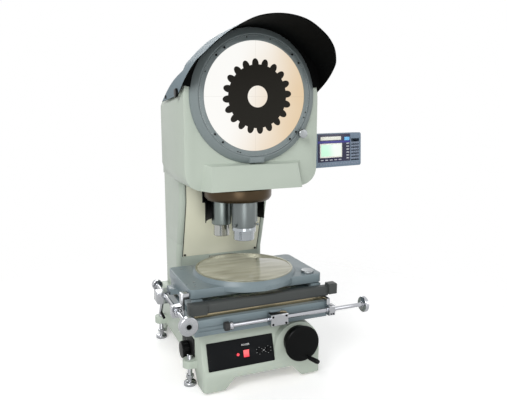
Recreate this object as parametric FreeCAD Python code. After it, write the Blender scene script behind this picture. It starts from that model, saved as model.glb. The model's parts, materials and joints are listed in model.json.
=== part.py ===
import FreeCAD, Part
import math
import os

V = FreeCAD.Vector
X_AXIS = V(1, 0, 0)
Y_AXIS = V(0, 1, 0)
Z_AXIS = V(0, 0, 1)

# Frame: millimetres, +X to the user's right, +Y to the rear, +Z up.
# The origin is on the bench, straight under the optical axis.

# Clearances and fits
RUNNING_FIT = 0.05
SLIDE_GAP = 0.05
BODY_GAP = 0.3
SEAT_FIT = 0.02

# Projection screen and its rings
SCREEN_RADIUS = 175.0
SCREEN_HEIGHT = 963.0
RING_FACE_Y = -111.0
GLASS_THICKNESS = 6.0
SCALE_RING_WIDTH = 19.0
SCALE_RING_DEPTH = 31.0
FIXED_RING_WIDTH = 22.0
FIXED_RING_SLOPE = 15.0
RING_WALL = 10.0
RING_BEVEL = 2.0
SCREEN_OVERLAP = 4.0
CLIP_LENGTH = 42.0
CLIP_ANGLES = (131.5, 225.0, -44.0, 41.0)

# Head casting
HEAD_FRONT_Y = -90.0
HEAD_HALF_WIDTH = 236.0
HEAD_BOTTOM = 662.0
HEAD_FLARE_REAR = 214.0
HEAD_REAR = 440.0
HEAD_CORNER = 60.0
HEAD_REAR_SWEEP = 130.0
HEAD_WALL = 8.0
HEAD_TAPER = 90.0
HEAD_FRONT_RISE = 216.0
HEAD_FLARE_SIDE_Z = 930.0
HEAD_FLARE_RISE = 170.0
REAR_HOUSING_LOW_TOP = 880.0
REAR_COVER_HALF = 132.0
REAR_COVER_BOTTOM = 708.0
REAR_COVER_TOP = 985.0
REAR_COVER_SHEET = 3.0
REAR_COVER_LAP = 12.0

# Blank nose under the screen
NOSE_HALF_TOP = 153.0
NOSE_HALF_BOTTOM = 161.0
NOSE_TOP = 742.0
NOSE_FACE_TOP_Y = -111.0
NOSE_FACE_BOTTOM_Y = -132.0
NOSE_SIDE_SLOPE = 22.0

# Hood over the screen
HOOD_INNER_HALF = 240.5
HOOD_SHEET = 2.5
HOOD_SEAT_Y = -92.0
HOOD_LIP_Y = -310.0
HOOD_REAR_Y = 160.0
HOOD_REAR_LOW = -17.0
HOOD_SIDE_MID = (19.0, 43.0)
HOOD_SIDE_HIGH = 78.0
HOOD_FRONT_LOW = (-52.0, 3.0)
HOOD_LIP_LOW_MID = (-158.0, 63.0)
HOOD_LIP_JOIN = (-241.0, 119.0)
HOOD_LIP_HIGH_MID = (-288.0, 174.0)
HOOD_LIP_RISE = 242.0
# Half sections of the hood's outside, as half width and height over the screen centre
HOOD_SEAT_SECTION = ((243, 0), (243, 50), (229, 92), (211, 114), (181, 144), (136, 179), (72, 210), (0, 222.5))
HOOD_LIP_SECTION = ((250, 0), (252, 45), (237, 97), (213, 127), (184, 157), (141, 188), (76, 220), (0, 231))
HOOD_KNOB_RADIUS = 14.5
HOOD_KNOB_LENGTH = 8.0
HOOD_KNOB_AT = (-48.0, 11.0)
HOOD_SCREW_AT = (100.0, -1.0)
HOOD_SCREW_RADIUS = 4.0
HOOD_BOSS_RADIUS = 9.0

# Column
COLUMN_HALF_WIDTH = 179.0
COLUMN_REAR = 440.0
COLUMN_TOP_FRONT_Y = 190.0
COLUMN_JOINT_Y = 240.0
COLUMN_LOW_FRONT_Y = 254.0
COLUMN_JOINT_Z = 403.0
COLUMN_LOW_BEND_Z = 362.0
COLUMN_TOP_BEND_Z = 575.0
COLUMN_WALL = 8.0
COLUMN_EDGE = 18.0
COVER_HALF_WIDTH = 156.0
COVER_SHEET = 2.0
COVER_SEAM = 1.6
COVER_BOTTOM = 350.0

# Base casting
BASE_HALF_WIDTH = 214.0
BASE_FRONT_Y = -185.0
BASE_REAR = 440.0
BASE_TOP = 203.0
BASE_CLEARANCE = 9.0
BASE_WALL = 9.0
LEAN_START_Z = 65.0
LEAN_ANGLE = 17.4
ARCH_HALF_BOTTOM = 142.0
ARCH_HALF_TOP = 105.0
ARCH_TOP = 48.0
SIDE_ARCH_FRONT_Y = -120.0
SIDE_ARCH_REAR_Y = 360.0
SIDE_ARCH_TOP = 60.0
SIDE_ARCH_SLOPE = 45.0
BASE_SHOULDER = 90.0
BASE_EDGE = 14.0
WHEEL_BOSS_RADIUS = 84.0
WHEEL_BOSS_FRONT_Y = -178.0

# Levelling feet
FOOT_X = 232.0
FOOT_FRONT_Y = -86.0
FOOT_REAR_Y = 330.0
FOOT_PAD_RADIUS = 22.0
FOOT_PAD_HEIGHT = 13.0
FOOT_SCREW_RADIUS = 8.0
FOOT_LUG_RADIUS = 24.0
FOOT_LUG_BOTTOM = 66.0
FOOT_LUG_TOP = 92.0
FOOT_SCREW_TOP = 108.0

# Control panel on the leaning front
PANEL_LEFT = -195.0
PANEL_RIGHT = 41.0
PANEL_BOTTOM = 15.0
PANEL_TOP = 106.0
PANEL_THICKNESS = 3.0
PANEL_CORNER = 4.0
ROCKER_X = -60.0
ROCKER_HEIGHT = 55.0
ROCKER_WIDTH = 22.0
ROCKER_LENGTH = 30.0
LAMP_X = -89.0
FUSE_XS = (-12.0, 20.0)
FUSE_RADIUS = 6.5

# Handwheel and lift drive
WHEEL_X = 126.0
WHEEL_Z = 139.0
WHEEL_RADIUS = 62.5
WHEEL_FRONT_Y = -222.0
WHEEL_THICKNESS = 12.0
WHEEL_COLLAR_RADIUS = 52.0
WHEEL_SHAFT_RADIUS = 10.0
GRIP_ORBIT = 50.0
GRIP_ANGLE = -72.0
GRIP_LENGTH = 50.0
GRIP_RADIUS = 8.5
GRIP_PIN_RADIUS = 4.0
LIFT_SCREW_Y = 152.0
LIFT_SCREW_RADIUS = 10.0
LIFT_SCREW_TOP = 300.0
BEVEL_RADIUS = 30.0
BEVEL_SMALL = 17.0
BEVEL_GAP = 0.4
BEVEL_TEETH = 20

# Lift carriage, the grey cross-slide body
CARRIAGE_HALF = 240.0
CARRIAGE_FRONT_Y = -180.0
CARRIAGE_REAR_Y = 150.0
CARRIAGE_BOTTOM = 207.0
CARRIAGE_TOP = 262.0
DECK_THICKNESS = 17.0
APRON_THICKNESS = 16.0
LIGHT_HOLE_RADIUS = 101.0
GUIDE_TOP = 275.0
GUIDE_WIDTH = 38.0
GUIDE_FRONT_Y = -160.0
GUIDE_REAR_Y = 102.0
RAIL_HALF = 60.0
RAIL_FRONT_Y = 215.0
RAIL_BOTTOM = 215.0
RAIL_TOP = 345.0
LIFT_PLATE_TOP = 300.0
LIFT_PLATE_HALF = 130.0

# X slide, the middle member
X_SLIDE_HALF = 235.0
X_SLIDE_FRONT_Y = -148.0
X_SLIDE_REAR_Y = 140.0
X_SLIDE_TOP = 302.0
X_OPENING_HALF = 168.0
X_OPENING_DEPTH = 108.0
Y_RAIL_INNER = 200.0
Y_RAIL_TOP = 316.0

# X encoder
ENCODER_FRONT_Y = -174.0
ENCODER_BOTTOM = 277.5
ENCODER_TOP = 313.0
ENCODER_LEFT = -196.0
ENCODER_RIGHT = 248.0
ENCODER_CAP = 59.0
ENCODER_CAP_RIGHT = 30.0
ENCODER_CAP_LIFT = 6.5

# Y slide: stage plate, collar and glass
PLATE_HALF_X = 243.0
PLATE_HALF_Y = 137.5
PLATE_BOTTOM = 320.0
PLATE_TOP = 350.0
PLATE_BULGE_BOTTOM = 332.0
PLATE_CORNER = 20.0
STAGE_GLASS_RADIUS = 168.0
STAGE_GLASS_TOP = 365.0
STAGE_RIM_WIDTH = 6.0
STAGE_BORE_RADIUS = 160.0
COLLAR_WIDTH = 8.0
PLUG_X = 200.0
PLUG_Y = -106.0
PLUG_RADIUS = 22.5

# Feed rods
ROD_RADIUS = 7.0
X_ROD_Y = -200.0
X_ROD_Z = 238.0
X_ROD_LEFT = -147.0
X_KNOB_RADIUS = 28.0
X_KNOB_LEFT = 366.0
X_KNOB_WIDTH = 18.0
X_NUT_CENTRE = 40.0
X_NUT_WIDTH = 62.0
X_NUT_HALF = 20.0
NUT_PAD = 7.0
X_BRACKET_LEFT = 229.0
X_BRACKET_WIDTH = 23.0
X_RISER_WIDTH = 12.0
X_SHELF_GAP = 4.0
Y_ROD_X = -CARRIAGE_HALF - 40.0
Y_ROD_Z = 281.0
Y_KNOB_FRONT = -261.0
Y_KNOB_RADIUS = 30.0
Y_KNOB_WIDTH = 20.0
Y_STOP_RADIUS = 19.0
Y_STOP_REAR = 174.0
Y_STOP_WIDTH = 20.0
Y_BRACKET_FRONT = -136.0
Y_BRACKET_WIDTH = 26.0
Y_BRACKET_HALF = 21.0
Y_BRACKET_CLEAR = 18.5
Y_BRACKET_BELOW = 16.0
Y_NUT_CENTRE = 63.0
Y_NUT_WIDTH = 50.0
Y_NUT_HALF = 20.0
Y_NUT_DROP = 9.0
Y_NUT_ASIDE = 9.0
Y_NUT_RIGHT = 18.5

# Turret and objectives
TURRET_Y = 60.0
TURRET_RADIUS = 122.0
TURRET_TOP = 649.0
TURRET_BOTTOM = 604.0
TURRET_PIN_RADIUS = 14.0
TURRET_MOUNT_RADIUS = 104.0
SKIRT_RADIUS = 118.0
SKIRT_SHEET = 3.0
SKIRT_BOTTOM = 516.0
OBJECTIVE_THREAD = 26.0
OBJECTIVE_BOTTOM = 466.0
FRONT_SLEEVE_RADIUS = 43.0
FRONT_NOSE_RADIUS = 37.0
FRONT_SHOULDER = 512.0
SIDE_SLEEVE_RADIUS = 36.0
SIDE_NOSE_RADIUS = 29.0
SIDE_SHOULDER = 508.0
LENS_THICKNESS = 6.0
OBJECTIVE_WALL = 5.0

# Optical train inside the housing
LOWER_MIRROR_Z = 745.0
REAR_MIRROR_Y = 300.0
MIRROR_THICKNESS = 10.0
MIRROR_BACKING = 8.0
BEAM_Z = 112.0
CONDENSER_RADIUS = 55.0
BASE_MIRROR_HALF = 60.0

# Left side knob and its plate
SIDE_PLATE_FRONT = -88.0
SIDE_PLATE_REAR = 60.0
SIDE_PLATE_BOTTOM = 70.0
SIDE_PLATE_TOP = 158.0
SIDE_PLATE_THICKNESS = 3.0
SIDE_KNOB_Y = -20.0
SIDE_KNOB_Z = 98.0
SIDE_KNOB_RADIUS = 30.0
SIDE_KNOB_LENGTH = 27.0

# Digital readout
READOUT_X = 379.0
READOUT_Y = 0.0
READOUT_Z = 770.0
READOUT_WIDTH = 220.0
READOUT_HEIGHT = 124.0
READOUT_DEPTH = 40.0
READOUT_YAW = 8.9
READOUT_TILT = -2.7
READOUT_WALL = 3.0
READOUT_EDGE = 8.0
ARM_RADIUS = 8.5
ARM_PIVOT_X = 276.0
ARM_PIVOT_Y = 78.0
ARM_PIN_RADIUS = 8.0
TILT_PIN_RADIUS = 6.0

# Mains inlet
INLET_X = -140.0
INLET_Z = 110.0
INLET_WIDTH = 30.0
INLET_HEIGHT = 24.0


def box(x0, y0, z0, x1, y1, z1):
    """A block between two corners."""
    return Part.makeBox(x1 - x0, y1 - y0, z1 - z0, V(x0, y0, z0))


def cylinder(radius, start, end):
    """A round bar between two points."""
    return Part.makeCylinder(radius, (end - start).Length, start, end - start)


def tube(outer, inner, start, end):
    """A bar with a through bore."""
    return cylinder(outer, start, end).cut(cylinder(inner, start, end))


def prism(points, depth):
    """A straight prism from a flat outline."""
    face = Part.Face(Part.makePolygon(points + [points[0]]))
    return face.extrude(depth)


def turned(profile, centre, axis):
    """A turned piece from (radius, height) points, with its axis through centre."""
    points = [V(radius, 0, height) for radius, height in profile]
    face = Part.Face(Part.makePolygon(points + [points[0]]))
    solid = face.revolve(V(0, 0, 0), Z_AXIS, 360)
    solid.Placement = FreeCAD.Placement(centre, FreeCAD.Rotation(Z_AXIS, axis))
    return solid


def rounded_plate(x0, y0, x1, y1, z0, z1, corner):
    """A flat plate with rounded vertical corners."""
    plate = box(x0, y0, z0, x1, y1, z1)
    return plate.makeFillet(corner, upright_edges(plate, Z_AXIS))


def upright_edges(shape, direction):
    """The straight edges that run along a direction."""
    found = []
    for edge in shape.Edges:
        if edge.Curve.TypeId != "Part::GeomLine":
            continue
        if edge.tangentAt(edge.FirstParameter).cross(direction).Length < 0.001:
            found.append(edge)
    return found


def fused(pieces):
    """One solid from pieces that join."""
    whole = pieces[0]
    for piece in pieces[1:]:
        whole = whole.fuse(piece)
    return whole.removeSplitter()


def group(pieces):
    """Separate solids that share one node."""
    return Part.makeCompound(pieces)


def export(name, shape):
    shape.exportStep("parts/" + name + ".step")


def polar(radius, angle, centre_x, centre_z, y):
    """A point on a circle that faces the user."""
    turn = math.radians(angle)
    return V(centre_x + radius * math.cos(turn), y, centre_z + radius * math.sin(turn))


def facing_bar(radius, centre, front_y, rear_y):
    """A round bar along Y."""
    return cylinder(radius, V(centre.x, front_y, centre.z), V(centre.x, rear_y, centre.z))


def leaned(shape):
    """Tips a piece drawn upright onto the leaning front of the base."""
    shape = shape.copy()
    shape.rotate(V(0, BASE_FRONT_Y, LEAN_START_Z), X_AXIS, -LEAN_ANGLE)
    return shape


SCREEN = V(0, 0, SCREEN_HEIGHT)
SCALE_RING_RADIUS = SCREEN_RADIUS + SCALE_RING_WIDTH
FIXED_RING_RADIUS = SCALE_RING_RADIUS + FIXED_RING_WIDTH
HEAD_OPENING_RADIUS = SCALE_RING_RADIUS + RING_WALL
LEAN_SLOPE = math.tan(math.radians(LEAN_ANGLE))
BASE_TOP_FRONT_Y = BASE_FRONT_Y + (BASE_TOP - LEAN_START_Z) * LEAN_SLOPE
LIFT_SCREW_X = WHEEL_X
TURRET_AXIS = V(0, TURRET_Y, 0)
COLUMN_FRONT_LINE = ((COLUMN_LOW_FRONT_Y, BASE_TOP), (COLUMN_LOW_FRONT_Y, COLUMN_LOW_BEND_Z),
                     (COLUMN_JOINT_Y, COLUMN_JOINT_Z), (COLUMN_TOP_FRONT_Y, COLUMN_TOP_BEND_Z),
                     (COLUMN_TOP_FRONT_Y, HEAD_BOTTOM))


def base_outline(inset):
    """The base block inside its walls, or outside with no inset."""
    half = BASE_HALF_WIDTH - inset
    top = BASE_TOP - inset
    front = BASE_FRONT_Y + inset
    low = BASE_CLEARANCE - (2.0 * BASE_WALL if inset else 0.0)
    top_front = front + (top - LEAN_START_Z) * LEAN_SLOPE
    side = [V(-half, front, low), V(-half, front, LEAN_START_Z), V(-half, top_front, top)]
    side += [V(-half, BASE_REAR - inset, top), V(-half, BASE_REAR - inset, low)]
    block = prism(side, V(2.0 * half, 0, 0))
    shoulder = BASE_SHOULDER - inset
    corner_x = half - shoulder
    corner_z = top - shoulder
    corner = box(corner_x, front - 1, corner_z, half + 1, BASE_REAR + 1, top + 1)
    round_bar = cylinder(shoulder, V(corner_x, front - 2, corner_z), V(corner_x, BASE_REAR + 2, corner_z))
    return block.cut(corner.cut(round_bar))


def base_casting():
    block = base_outline(0.0)
    edges = upright_edges(block, Z_AXIS)
    edges += [edge for edge in upright_edges(block, Y_AXIS) if edge.CenterOfMass.x < 0 and
              edge.CenterOfMass.z > LEAN_START_Z]
    block = block.makeFillet(BASE_EDGE, edges)
    boss = cylinder(WHEEL_BOSS_RADIUS, V(WHEEL_X, WHEEL_BOSS_FRONT_Y, WHEEL_Z - 22),
                    V(WHEEL_X, BASE_TOP_FRONT_Y + 20, WHEEL_Z - 22))
    boss = boss.common(box(-BASE_HALF_WIDTH, BASE_FRONT_Y, 0, BASE_HALF_WIDTH, BASE_REAR, BASE_TOP))
    block = block.fuse(boss)
    block = block.cut(base_outline(BASE_WALL))
    low = BASE_CLEARANCE - 1
    arch = [V(-ARCH_HALF_BOTTOM, BASE_FRONT_Y - 1, low), V(-ARCH_HALF_TOP, BASE_FRONT_Y - 1, ARCH_TOP),
            V(ARCH_HALF_TOP, BASE_FRONT_Y - 1, ARCH_TOP), V(ARCH_HALF_BOTTOM, BASE_FRONT_Y - 1, low)]
    block = block.cut(prism(arch, V(0, BASE_REAR - BASE_FRONT_Y + 2, 0)))
    edge_x = -BASE_HALF_WIDTH - 1
    arch = [V(edge_x, SIDE_ARCH_FRONT_Y, low), V(edge_x, SIDE_ARCH_FRONT_Y + SIDE_ARCH_SLOPE, SIDE_ARCH_TOP),
            V(edge_x, SIDE_ARCH_REAR_Y - SIDE_ARCH_SLOPE, SIDE_ARCH_TOP), V(edge_x, SIDE_ARCH_REAR_Y, low)]
    block = block.cut(prism(arch, V(2 * BASE_HALF_WIDTH + 2, 0, 0)))
    for side in (-1, 1):
        for y in (FOOT_FRONT_Y, FOOT_REAR_Y):
            inner = BASE_HALF_WIDTH - BASE_WALL
            lug = cylinder(FOOT_LUG_RADIUS, V(side * FOOT_X, y, FOOT_LUG_BOTTOM), V(side * FOOT_X, y, FOOT_LUG_TOP))
            web = box(min(side * inner, side * FOOT_X), y - FOOT_LUG_RADIUS, FOOT_LUG_BOTTOM,
                      max(side * inner, side * FOOT_X), y + FOOT_LUG_RADIUS, FOOT_LUG_TOP)
            block = block.fuse(lug).fuse(web)
            block = block.cut(cylinder(FOOT_SCREW_RADIUS + RUNNING_FIT, V(side * FOOT_X, y, 0),
                                       V(side * FOOT_X, y, BASE_TOP)))
    boss_bore = WHEEL_SHAFT_RADIUS + RUNNING_FIT
    bearing = cylinder(24, V(WHEEL_X, BASE_TOP_FRONT_Y - 30, WHEEL_Z), V(WHEEL_X, BASE_TOP_FRONT_Y + 40, WHEEL_Z))
    block = block.fuse(bearing)
    block = block.cut(cylinder(boss_bore, V(WHEEL_X, BASE_FRONT_Y - 1, WHEEL_Z),
                               V(WHEEL_X, LIFT_SCREW_Y, WHEEL_Z)))
    block = block.cut(cylinder(CONDENSER_RADIUS + SEAT_FIT, V(0, 0, BASE_TOP - 2 * BASE_WALL), V(0, 0, BASE_TOP + 1)))
    block = block.cut(cylinder(36, V(LIFT_SCREW_X, LIFT_SCREW_Y, BASE_TOP - 2 * BASE_WALL),
                               V(LIFT_SCREW_X, LIFT_SCREW_Y, BASE_TOP + 1)))
    pocket = box(PANEL_LEFT - SEAT_FIT, BASE_FRONT_Y - 1, LEAN_START_Z + PANEL_BOTTOM - SEAT_FIT,
                 PANEL_RIGHT + SEAT_FIT, BASE_FRONT_Y + PANEL_THICKNESS / 2, LEAN_START_Z + PANEL_TOP + SEAT_FIT)
    block = block.cut(leaned(pocket))
    window = box(PANEL_LEFT + 20, BASE_FRONT_Y - 1, LEAN_START_Z + PANEL_BOTTOM + 18,
                 PANEL_RIGHT - 12, BASE_FRONT_Y + 2 * BASE_WALL, LEAN_START_Z + PANEL_TOP - 18)
    block = block.cut(leaned(window))
    block = block.cut(cylinder(6 + RUNNING_FIT, V(-BASE_HALF_WIDTH - 1, SIDE_KNOB_Y, SIDE_KNOB_Z),
                               V(-BASE_HALF_WIDTH + 2 * BASE_WALL, SIDE_KNOB_Y, SIDE_KNOB_Z)))
    block = block.cut(box(INLET_X - INLET_WIDTH / 2, BASE_REAR - 2 * BASE_WALL, INLET_Z - INLET_HEIGHT / 2,
                          INLET_X + INLET_WIDTH / 2, BASE_REAR + 1, INLET_Z + INLET_HEIGHT / 2))
    step = box(LIFT_SCREW_X - 40, LIFT_SCREW_Y - 40, 88, BASE_HALF_WIDTH - BASE_WALL + 1, LIFT_SCREW_Y + 40, 100)
    step = step.cut(cylinder(LIFT_SCREW_RADIUS + RUNNING_FIT, V(LIFT_SCREW_X, LIFT_SCREW_Y, 80),
                             V(LIFT_SCREW_X, LIFT_SCREW_Y, 120)))
    return block.fuse(step).removeSplitter()


def levelling_foot(x, y):
    pad = turned([(0, 0), (FOOT_PAD_RADIUS, 0), (FOOT_PAD_RADIUS, FOOT_PAD_HEIGHT - 4),
                  (FOOT_PAD_RADIUS - 4, FOOT_PAD_HEIGHT), (FOOT_SCREW_RADIUS, FOOT_PAD_HEIGHT),
                  (FOOT_SCREW_RADIUS, FOOT_SCREW_TOP), (0, FOOT_SCREW_TOP)], V(x, y, 0), Z_AXIS)
    nut = Part.makePolygon([V(x + 14 * math.cos(math.radians(a)), y + 14 * math.sin(math.radians(a)), 26)
                            for a in range(0, 361, 60)])
    return fused([pad, Part.Face(nut).extrude(V(0, 0, 10))])


def control_panel():
    face_y = BASE_FRONT_Y - PANEL_THICKNESS / 2
    plate = box(PANEL_LEFT, face_y, LEAN_START_Z + PANEL_BOTTOM, PANEL_RIGHT, face_y + PANEL_THICKNESS,
                LEAN_START_Z + PANEL_TOP)
    plate = plate.makeFillet(PANEL_CORNER, upright_edges(plate, Y_AXIS))
    cuts = [box(ROCKER_X - ROCKER_WIDTH / 2 - 1, face_y - 1, LEAN_START_Z + ROCKER_HEIGHT - ROCKER_LENGTH / 2 - 1,
                ROCKER_X + ROCKER_WIDTH / 2 + 1, face_y + 9, LEAN_START_Z + ROCKER_HEIGHT + ROCKER_LENGTH / 2 + 1)]
    for x, radius in [(LAMP_X, 4.0)] + [(x, 5.0) for x in FUSE_XS]:
        cuts.append(cylinder(radius, V(x, face_y - 1, LEAN_START_Z + ROCKER_HEIGHT),
                             V(x, face_y + 9, LEAN_START_Z + ROCKER_HEIGHT)))
    for cut in cuts:
        plate = plate.cut(cut)
    return leaned(plate.fuse(rocker_frame(face_y)))


def rocker_frame(face_y):
    """The moulded frame in the panel that carries the rocker's pin."""
    z = LEAN_START_Z + ROCKER_HEIGHT
    half_x = ROCKER_WIDTH / 2
    half_z = ROCKER_LENGTH / 2
    wall = 1.0
    body = box(ROCKER_X - half_x - wall, face_y, z - half_z - wall, ROCKER_X + half_x + wall, face_y + 18,
               z + half_z + wall)
    flange = box(ROCKER_X - half_x - 2.5, face_y - 2, z - half_z - 2.5, ROCKER_X + half_x + 2.5, face_y,
                 z + half_z + 2.5)
    hollow = box(ROCKER_X - half_x + wall, face_y - 3, z - half_z + wall, ROCKER_X + half_x - wall, face_y + 16,
                 z + half_z - wall)
    pin = cylinder(1.5, V(ROCKER_X - half_x, face_y + 4, z), V(ROCKER_X + half_x, face_y + 4, z))
    return fused([body, flange]).cut(hollow).fuse(pin)


def power_rocker():
    face_y = BASE_FRONT_Y - PANEL_THICKNESS / 2
    z = LEAN_START_Z + ROCKER_HEIGHT
    half_x = ROCKER_WIDTH / 2 - 1 - BODY_GAP
    half_z = ROCKER_LENGTH / 2 - 3.0
    profile = [V(ROCKER_X - half_x, face_y + 6, z - half_z + 4), V(ROCKER_X - half_x, face_y - 2, z - half_z),
               V(ROCKER_X - half_x, face_y - 1.5, z), V(ROCKER_X - half_x, face_y - 5, z + half_z),
               V(ROCKER_X - half_x, face_y + 6, z + half_z - 4)]
    body = prism(profile, V(2 * half_x, 0, 0))
    bore = cylinder(1.5 + RUNNING_FIT, V(ROCKER_X - half_x - 1, face_y + 4, z), V(ROCKER_X + half_x + 1, face_y + 4, z))
    return leaned(body.cut(bore))


def panel_fittings():
    """The pilot lamp and the two fuse caps on the panel."""
    face_y = BASE_FRONT_Y - PANEL_THICKNESS / 2
    z = LEAN_START_Z + ROCKER_HEIGHT
    lamp = turned([(0, 0), (4 - SEAT_FIT, 0), (4 - SEAT_FIT, 6), (5, 6), (5, 7), (3.5, 9.5), (0, 10)],
                  V(LAMP_X, face_y + 6, z), V(0, -1, 0))
    fittings = [leaned(lamp)]
    for x in FUSE_XS:
        cap = turned([(0, 0), (5 - SEAT_FIT, 0), (5 - SEAT_FIT, 8), (FUSE_RADIUS, 8), (FUSE_RADIUS, 13),
                      (FUSE_RADIUS - 1, 14), (0, 14)], V(x, face_y + 8, z), V(0, -1, 0))
        slot = box(x - 4, face_y - 7, z - 0.7, x + 4, face_y - 4.5, z + 0.7)
        fittings.append(leaned(cap.cut(slot)))
    return group(fittings)


def panel_screws():
    face_y = BASE_FRONT_Y - PANEL_THICKNESS / 2
    screws = []
    for x in (PANEL_LEFT + 8, PANEL_RIGHT - 8):
        for height in (PANEL_BOTTOM + 38, PANEL_BOTTOM + 52):
            head = turned([(0, 0), (3, 0), (2.4, 1.6), (0, 2)], V(x, face_y, LEAN_START_Z + height), V(0, -1, 0))
            screws.append(leaned(head))
    return screws


def side_plate():
    x = -BASE_HALF_WIDTH
    plate = box(x - SIDE_PLATE_THICKNESS, SIDE_PLATE_FRONT, SIDE_PLATE_BOTTOM + 24, x, SIDE_PLATE_REAR, SIDE_PLATE_TOP)
    lower = box(x - SIDE_PLATE_THICKNESS, SIDE_PLATE_FRONT + 30, SIDE_PLATE_BOTTOM, x, SIDE_PLATE_REAR,
                SIDE_PLATE_BOTTOM + 24)
    plate = fused([plate, lower])
    plate = plate.makeFillet(6, upright_edges(plate, X_AXIS))
    return plate.cut(cylinder(6 + RUNNING_FIT, V(x - 10, SIDE_KNOB_Y, SIDE_KNOB_Z), V(x + 10, SIDE_KNOB_Y, SIDE_KNOB_Z)))


def side_knob():
    start = V(-BASE_HALF_WIDTH + 2 * BASE_WALL, SIDE_KNOB_Y, SIDE_KNOB_Z)
    stem = 2 * BASE_WALL + SIDE_PLATE_THICKNESS + BODY_GAP
    knob = turned([(0, 0), (6, 0), (6, stem), (SIDE_KNOB_RADIUS - 2, stem), (SIDE_KNOB_RADIUS, stem + 3),
                   (SIDE_KNOB_RADIUS, stem + SIDE_KNOB_LENGTH - 3), (SIDE_KNOB_RADIUS - 3, stem + SIDE_KNOB_LENGTH),
                   (0, stem + SIDE_KNOB_LENGTH)], start, V(-1, 0, 0))
    for turn in range(0, 360, 30):
        y = SIDE_KNOB_Y + (SIDE_KNOB_RADIUS + 1.5) * math.cos(math.radians(turn))
        z = SIDE_KNOB_Z + (SIDE_KNOB_RADIUS + 1.5) * math.sin(math.radians(turn))
        end_x = start.x - stem - SIDE_KNOB_LENGTH
        knob = knob.cut(cylinder(3.5, V(end_x - 1, y, z), V(end_x + SIDE_KNOB_LENGTH - 6, y, z)))
    return knob


def handwheel():
    depth = -WHEEL_FRONT_Y
    profile = [(0, 0), (WHEEL_RADIUS - 3, 0), (WHEEL_RADIUS, 3), (WHEEL_RADIUS, WHEEL_THICKNESS - 3),
               (WHEEL_RADIUS - 3, WHEEL_THICKNESS), (26, WHEEL_THICKNESS), (26, WHEEL_THICKNESS + 14),
               (WHEEL_COLLAR_RADIUS, WHEEL_THICKNESS + 14), (WHEEL_COLLAR_RADIUS, depth + WHEEL_BOSS_FRONT_Y - BODY_GAP),
               (WHEEL_SHAFT_RADIUS, depth + WHEEL_BOSS_FRONT_Y - BODY_GAP),
               (WHEEL_SHAFT_RADIUS, depth + LIFT_SCREW_Y - BEVEL_RADIUS), (0, depth + LIFT_SCREW_Y - BEVEL_RADIUS)]
    wheel = turned(profile, V(WHEEL_X, WHEEL_FRONT_Y, WHEEL_Z), Y_AXIS)
    pinion = bevel_gear(V(WHEEL_X, LIFT_SCREW_Y, WHEEL_Z), Y_AXIS)
    return fused([wheel, grip_pin(), pinion])


def grip_frame():
    """Root and direction of the crank grip, which leans out from the rim."""
    root = polar(GRIP_ORBIT, GRIP_ANGLE, WHEEL_X, WHEEL_Z, WHEEL_FRONT_Y)
    direction = V(0.42, -0.9, -0.08)
    return root, direction.normalize()


def grip_pin():
    root, direction = grip_frame()
    return cylinder(GRIP_PIN_RADIUS, root - direction * 8, root + direction * (GRIP_LENGTH - 3))


def handwheel_grip():
    root, direction = grip_frame()
    bore = GRIP_PIN_RADIUS + RUNNING_FIT
    start = 5.5
    profile = [(bore, start), (GRIP_RADIUS - 2.5, start), (GRIP_RADIUS - 1, start + 10), (GRIP_RADIUS, GRIP_LENGTH - 8),
               (GRIP_RADIUS - 2, GRIP_LENGTH), (0, GRIP_LENGTH), (0, GRIP_LENGTH - 2.5), (bore, GRIP_LENGTH - 2.5)]
    return turned(profile, root, direction)


def bevel_gear(apex, axis):
    """A straight bevel gear of 45 degrees; the grooves lie under its pitch cone."""
    far = BEVEL_RADIUS + BEVEL_GAP
    near = BEVEL_SMALL + BEVEL_GAP
    gear = turned([(0, -far - 10), (BEVEL_RADIUS - 8, -far - 10), (BEVEL_RADIUS, -far), (BEVEL_SMALL, -near),
                   (0, -near)], apex, axis)
    for index in range(BEVEL_TEETH):
        groove = Part.makeLoft([tooth_space(BEVEL_RADIUS + 4, far + 4), tooth_space(BEVEL_SMALL - 4, near - 4)], True)
        groove.rotate(V(0, 0, 0), Z_AXIS, index * 360.0 / BEVEL_TEETH)
        groove.Placement = FreeCAD.Placement(apex, FreeCAD.Rotation(Z_AXIS, axis)).multiply(groove.Placement)
        gear = gear.cut(groove)
    return gear


def tooth_space(radius, height):
    """The V between two teeth, square to the pitch cone."""
    width = radius * math.pi / BEVEL_TEETH * 0.5
    depth = radius * 0.1
    out = V(radius, 0, -height)
    normal = V(1, 0, 1).normalize()
    return Part.makePolygon([out + normal * 2 + V(0, width * 1.2, 0), out - normal * depth + V(0, width * 0.3, 0),
                             out - normal * depth - V(0, width * 0.3, 0), out + normal * 2 - V(0, width * 1.2, 0),
                             out + normal * 2 + V(0, width * 1.2, 0)])


def lift_screw():
    screw = cylinder(LIFT_SCREW_RADIUS, V(LIFT_SCREW_X, LIFT_SCREW_Y, 76), V(LIFT_SCREW_X, LIFT_SCREW_Y, LIFT_SCREW_TOP))
    gear = bevel_gear(V(LIFT_SCREW_X, LIFT_SCREW_Y, WHEEL_Z), Z_AXIS)
    collar_top = 100 + BODY_GAP
    low = box(LIFT_SCREW_X - 60, LIFT_SCREW_Y - 60, 60, LIFT_SCREW_X + 60, LIFT_SCREW_Y + 60, collar_top)
    return fused([screw, gear.cut(low)])


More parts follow.
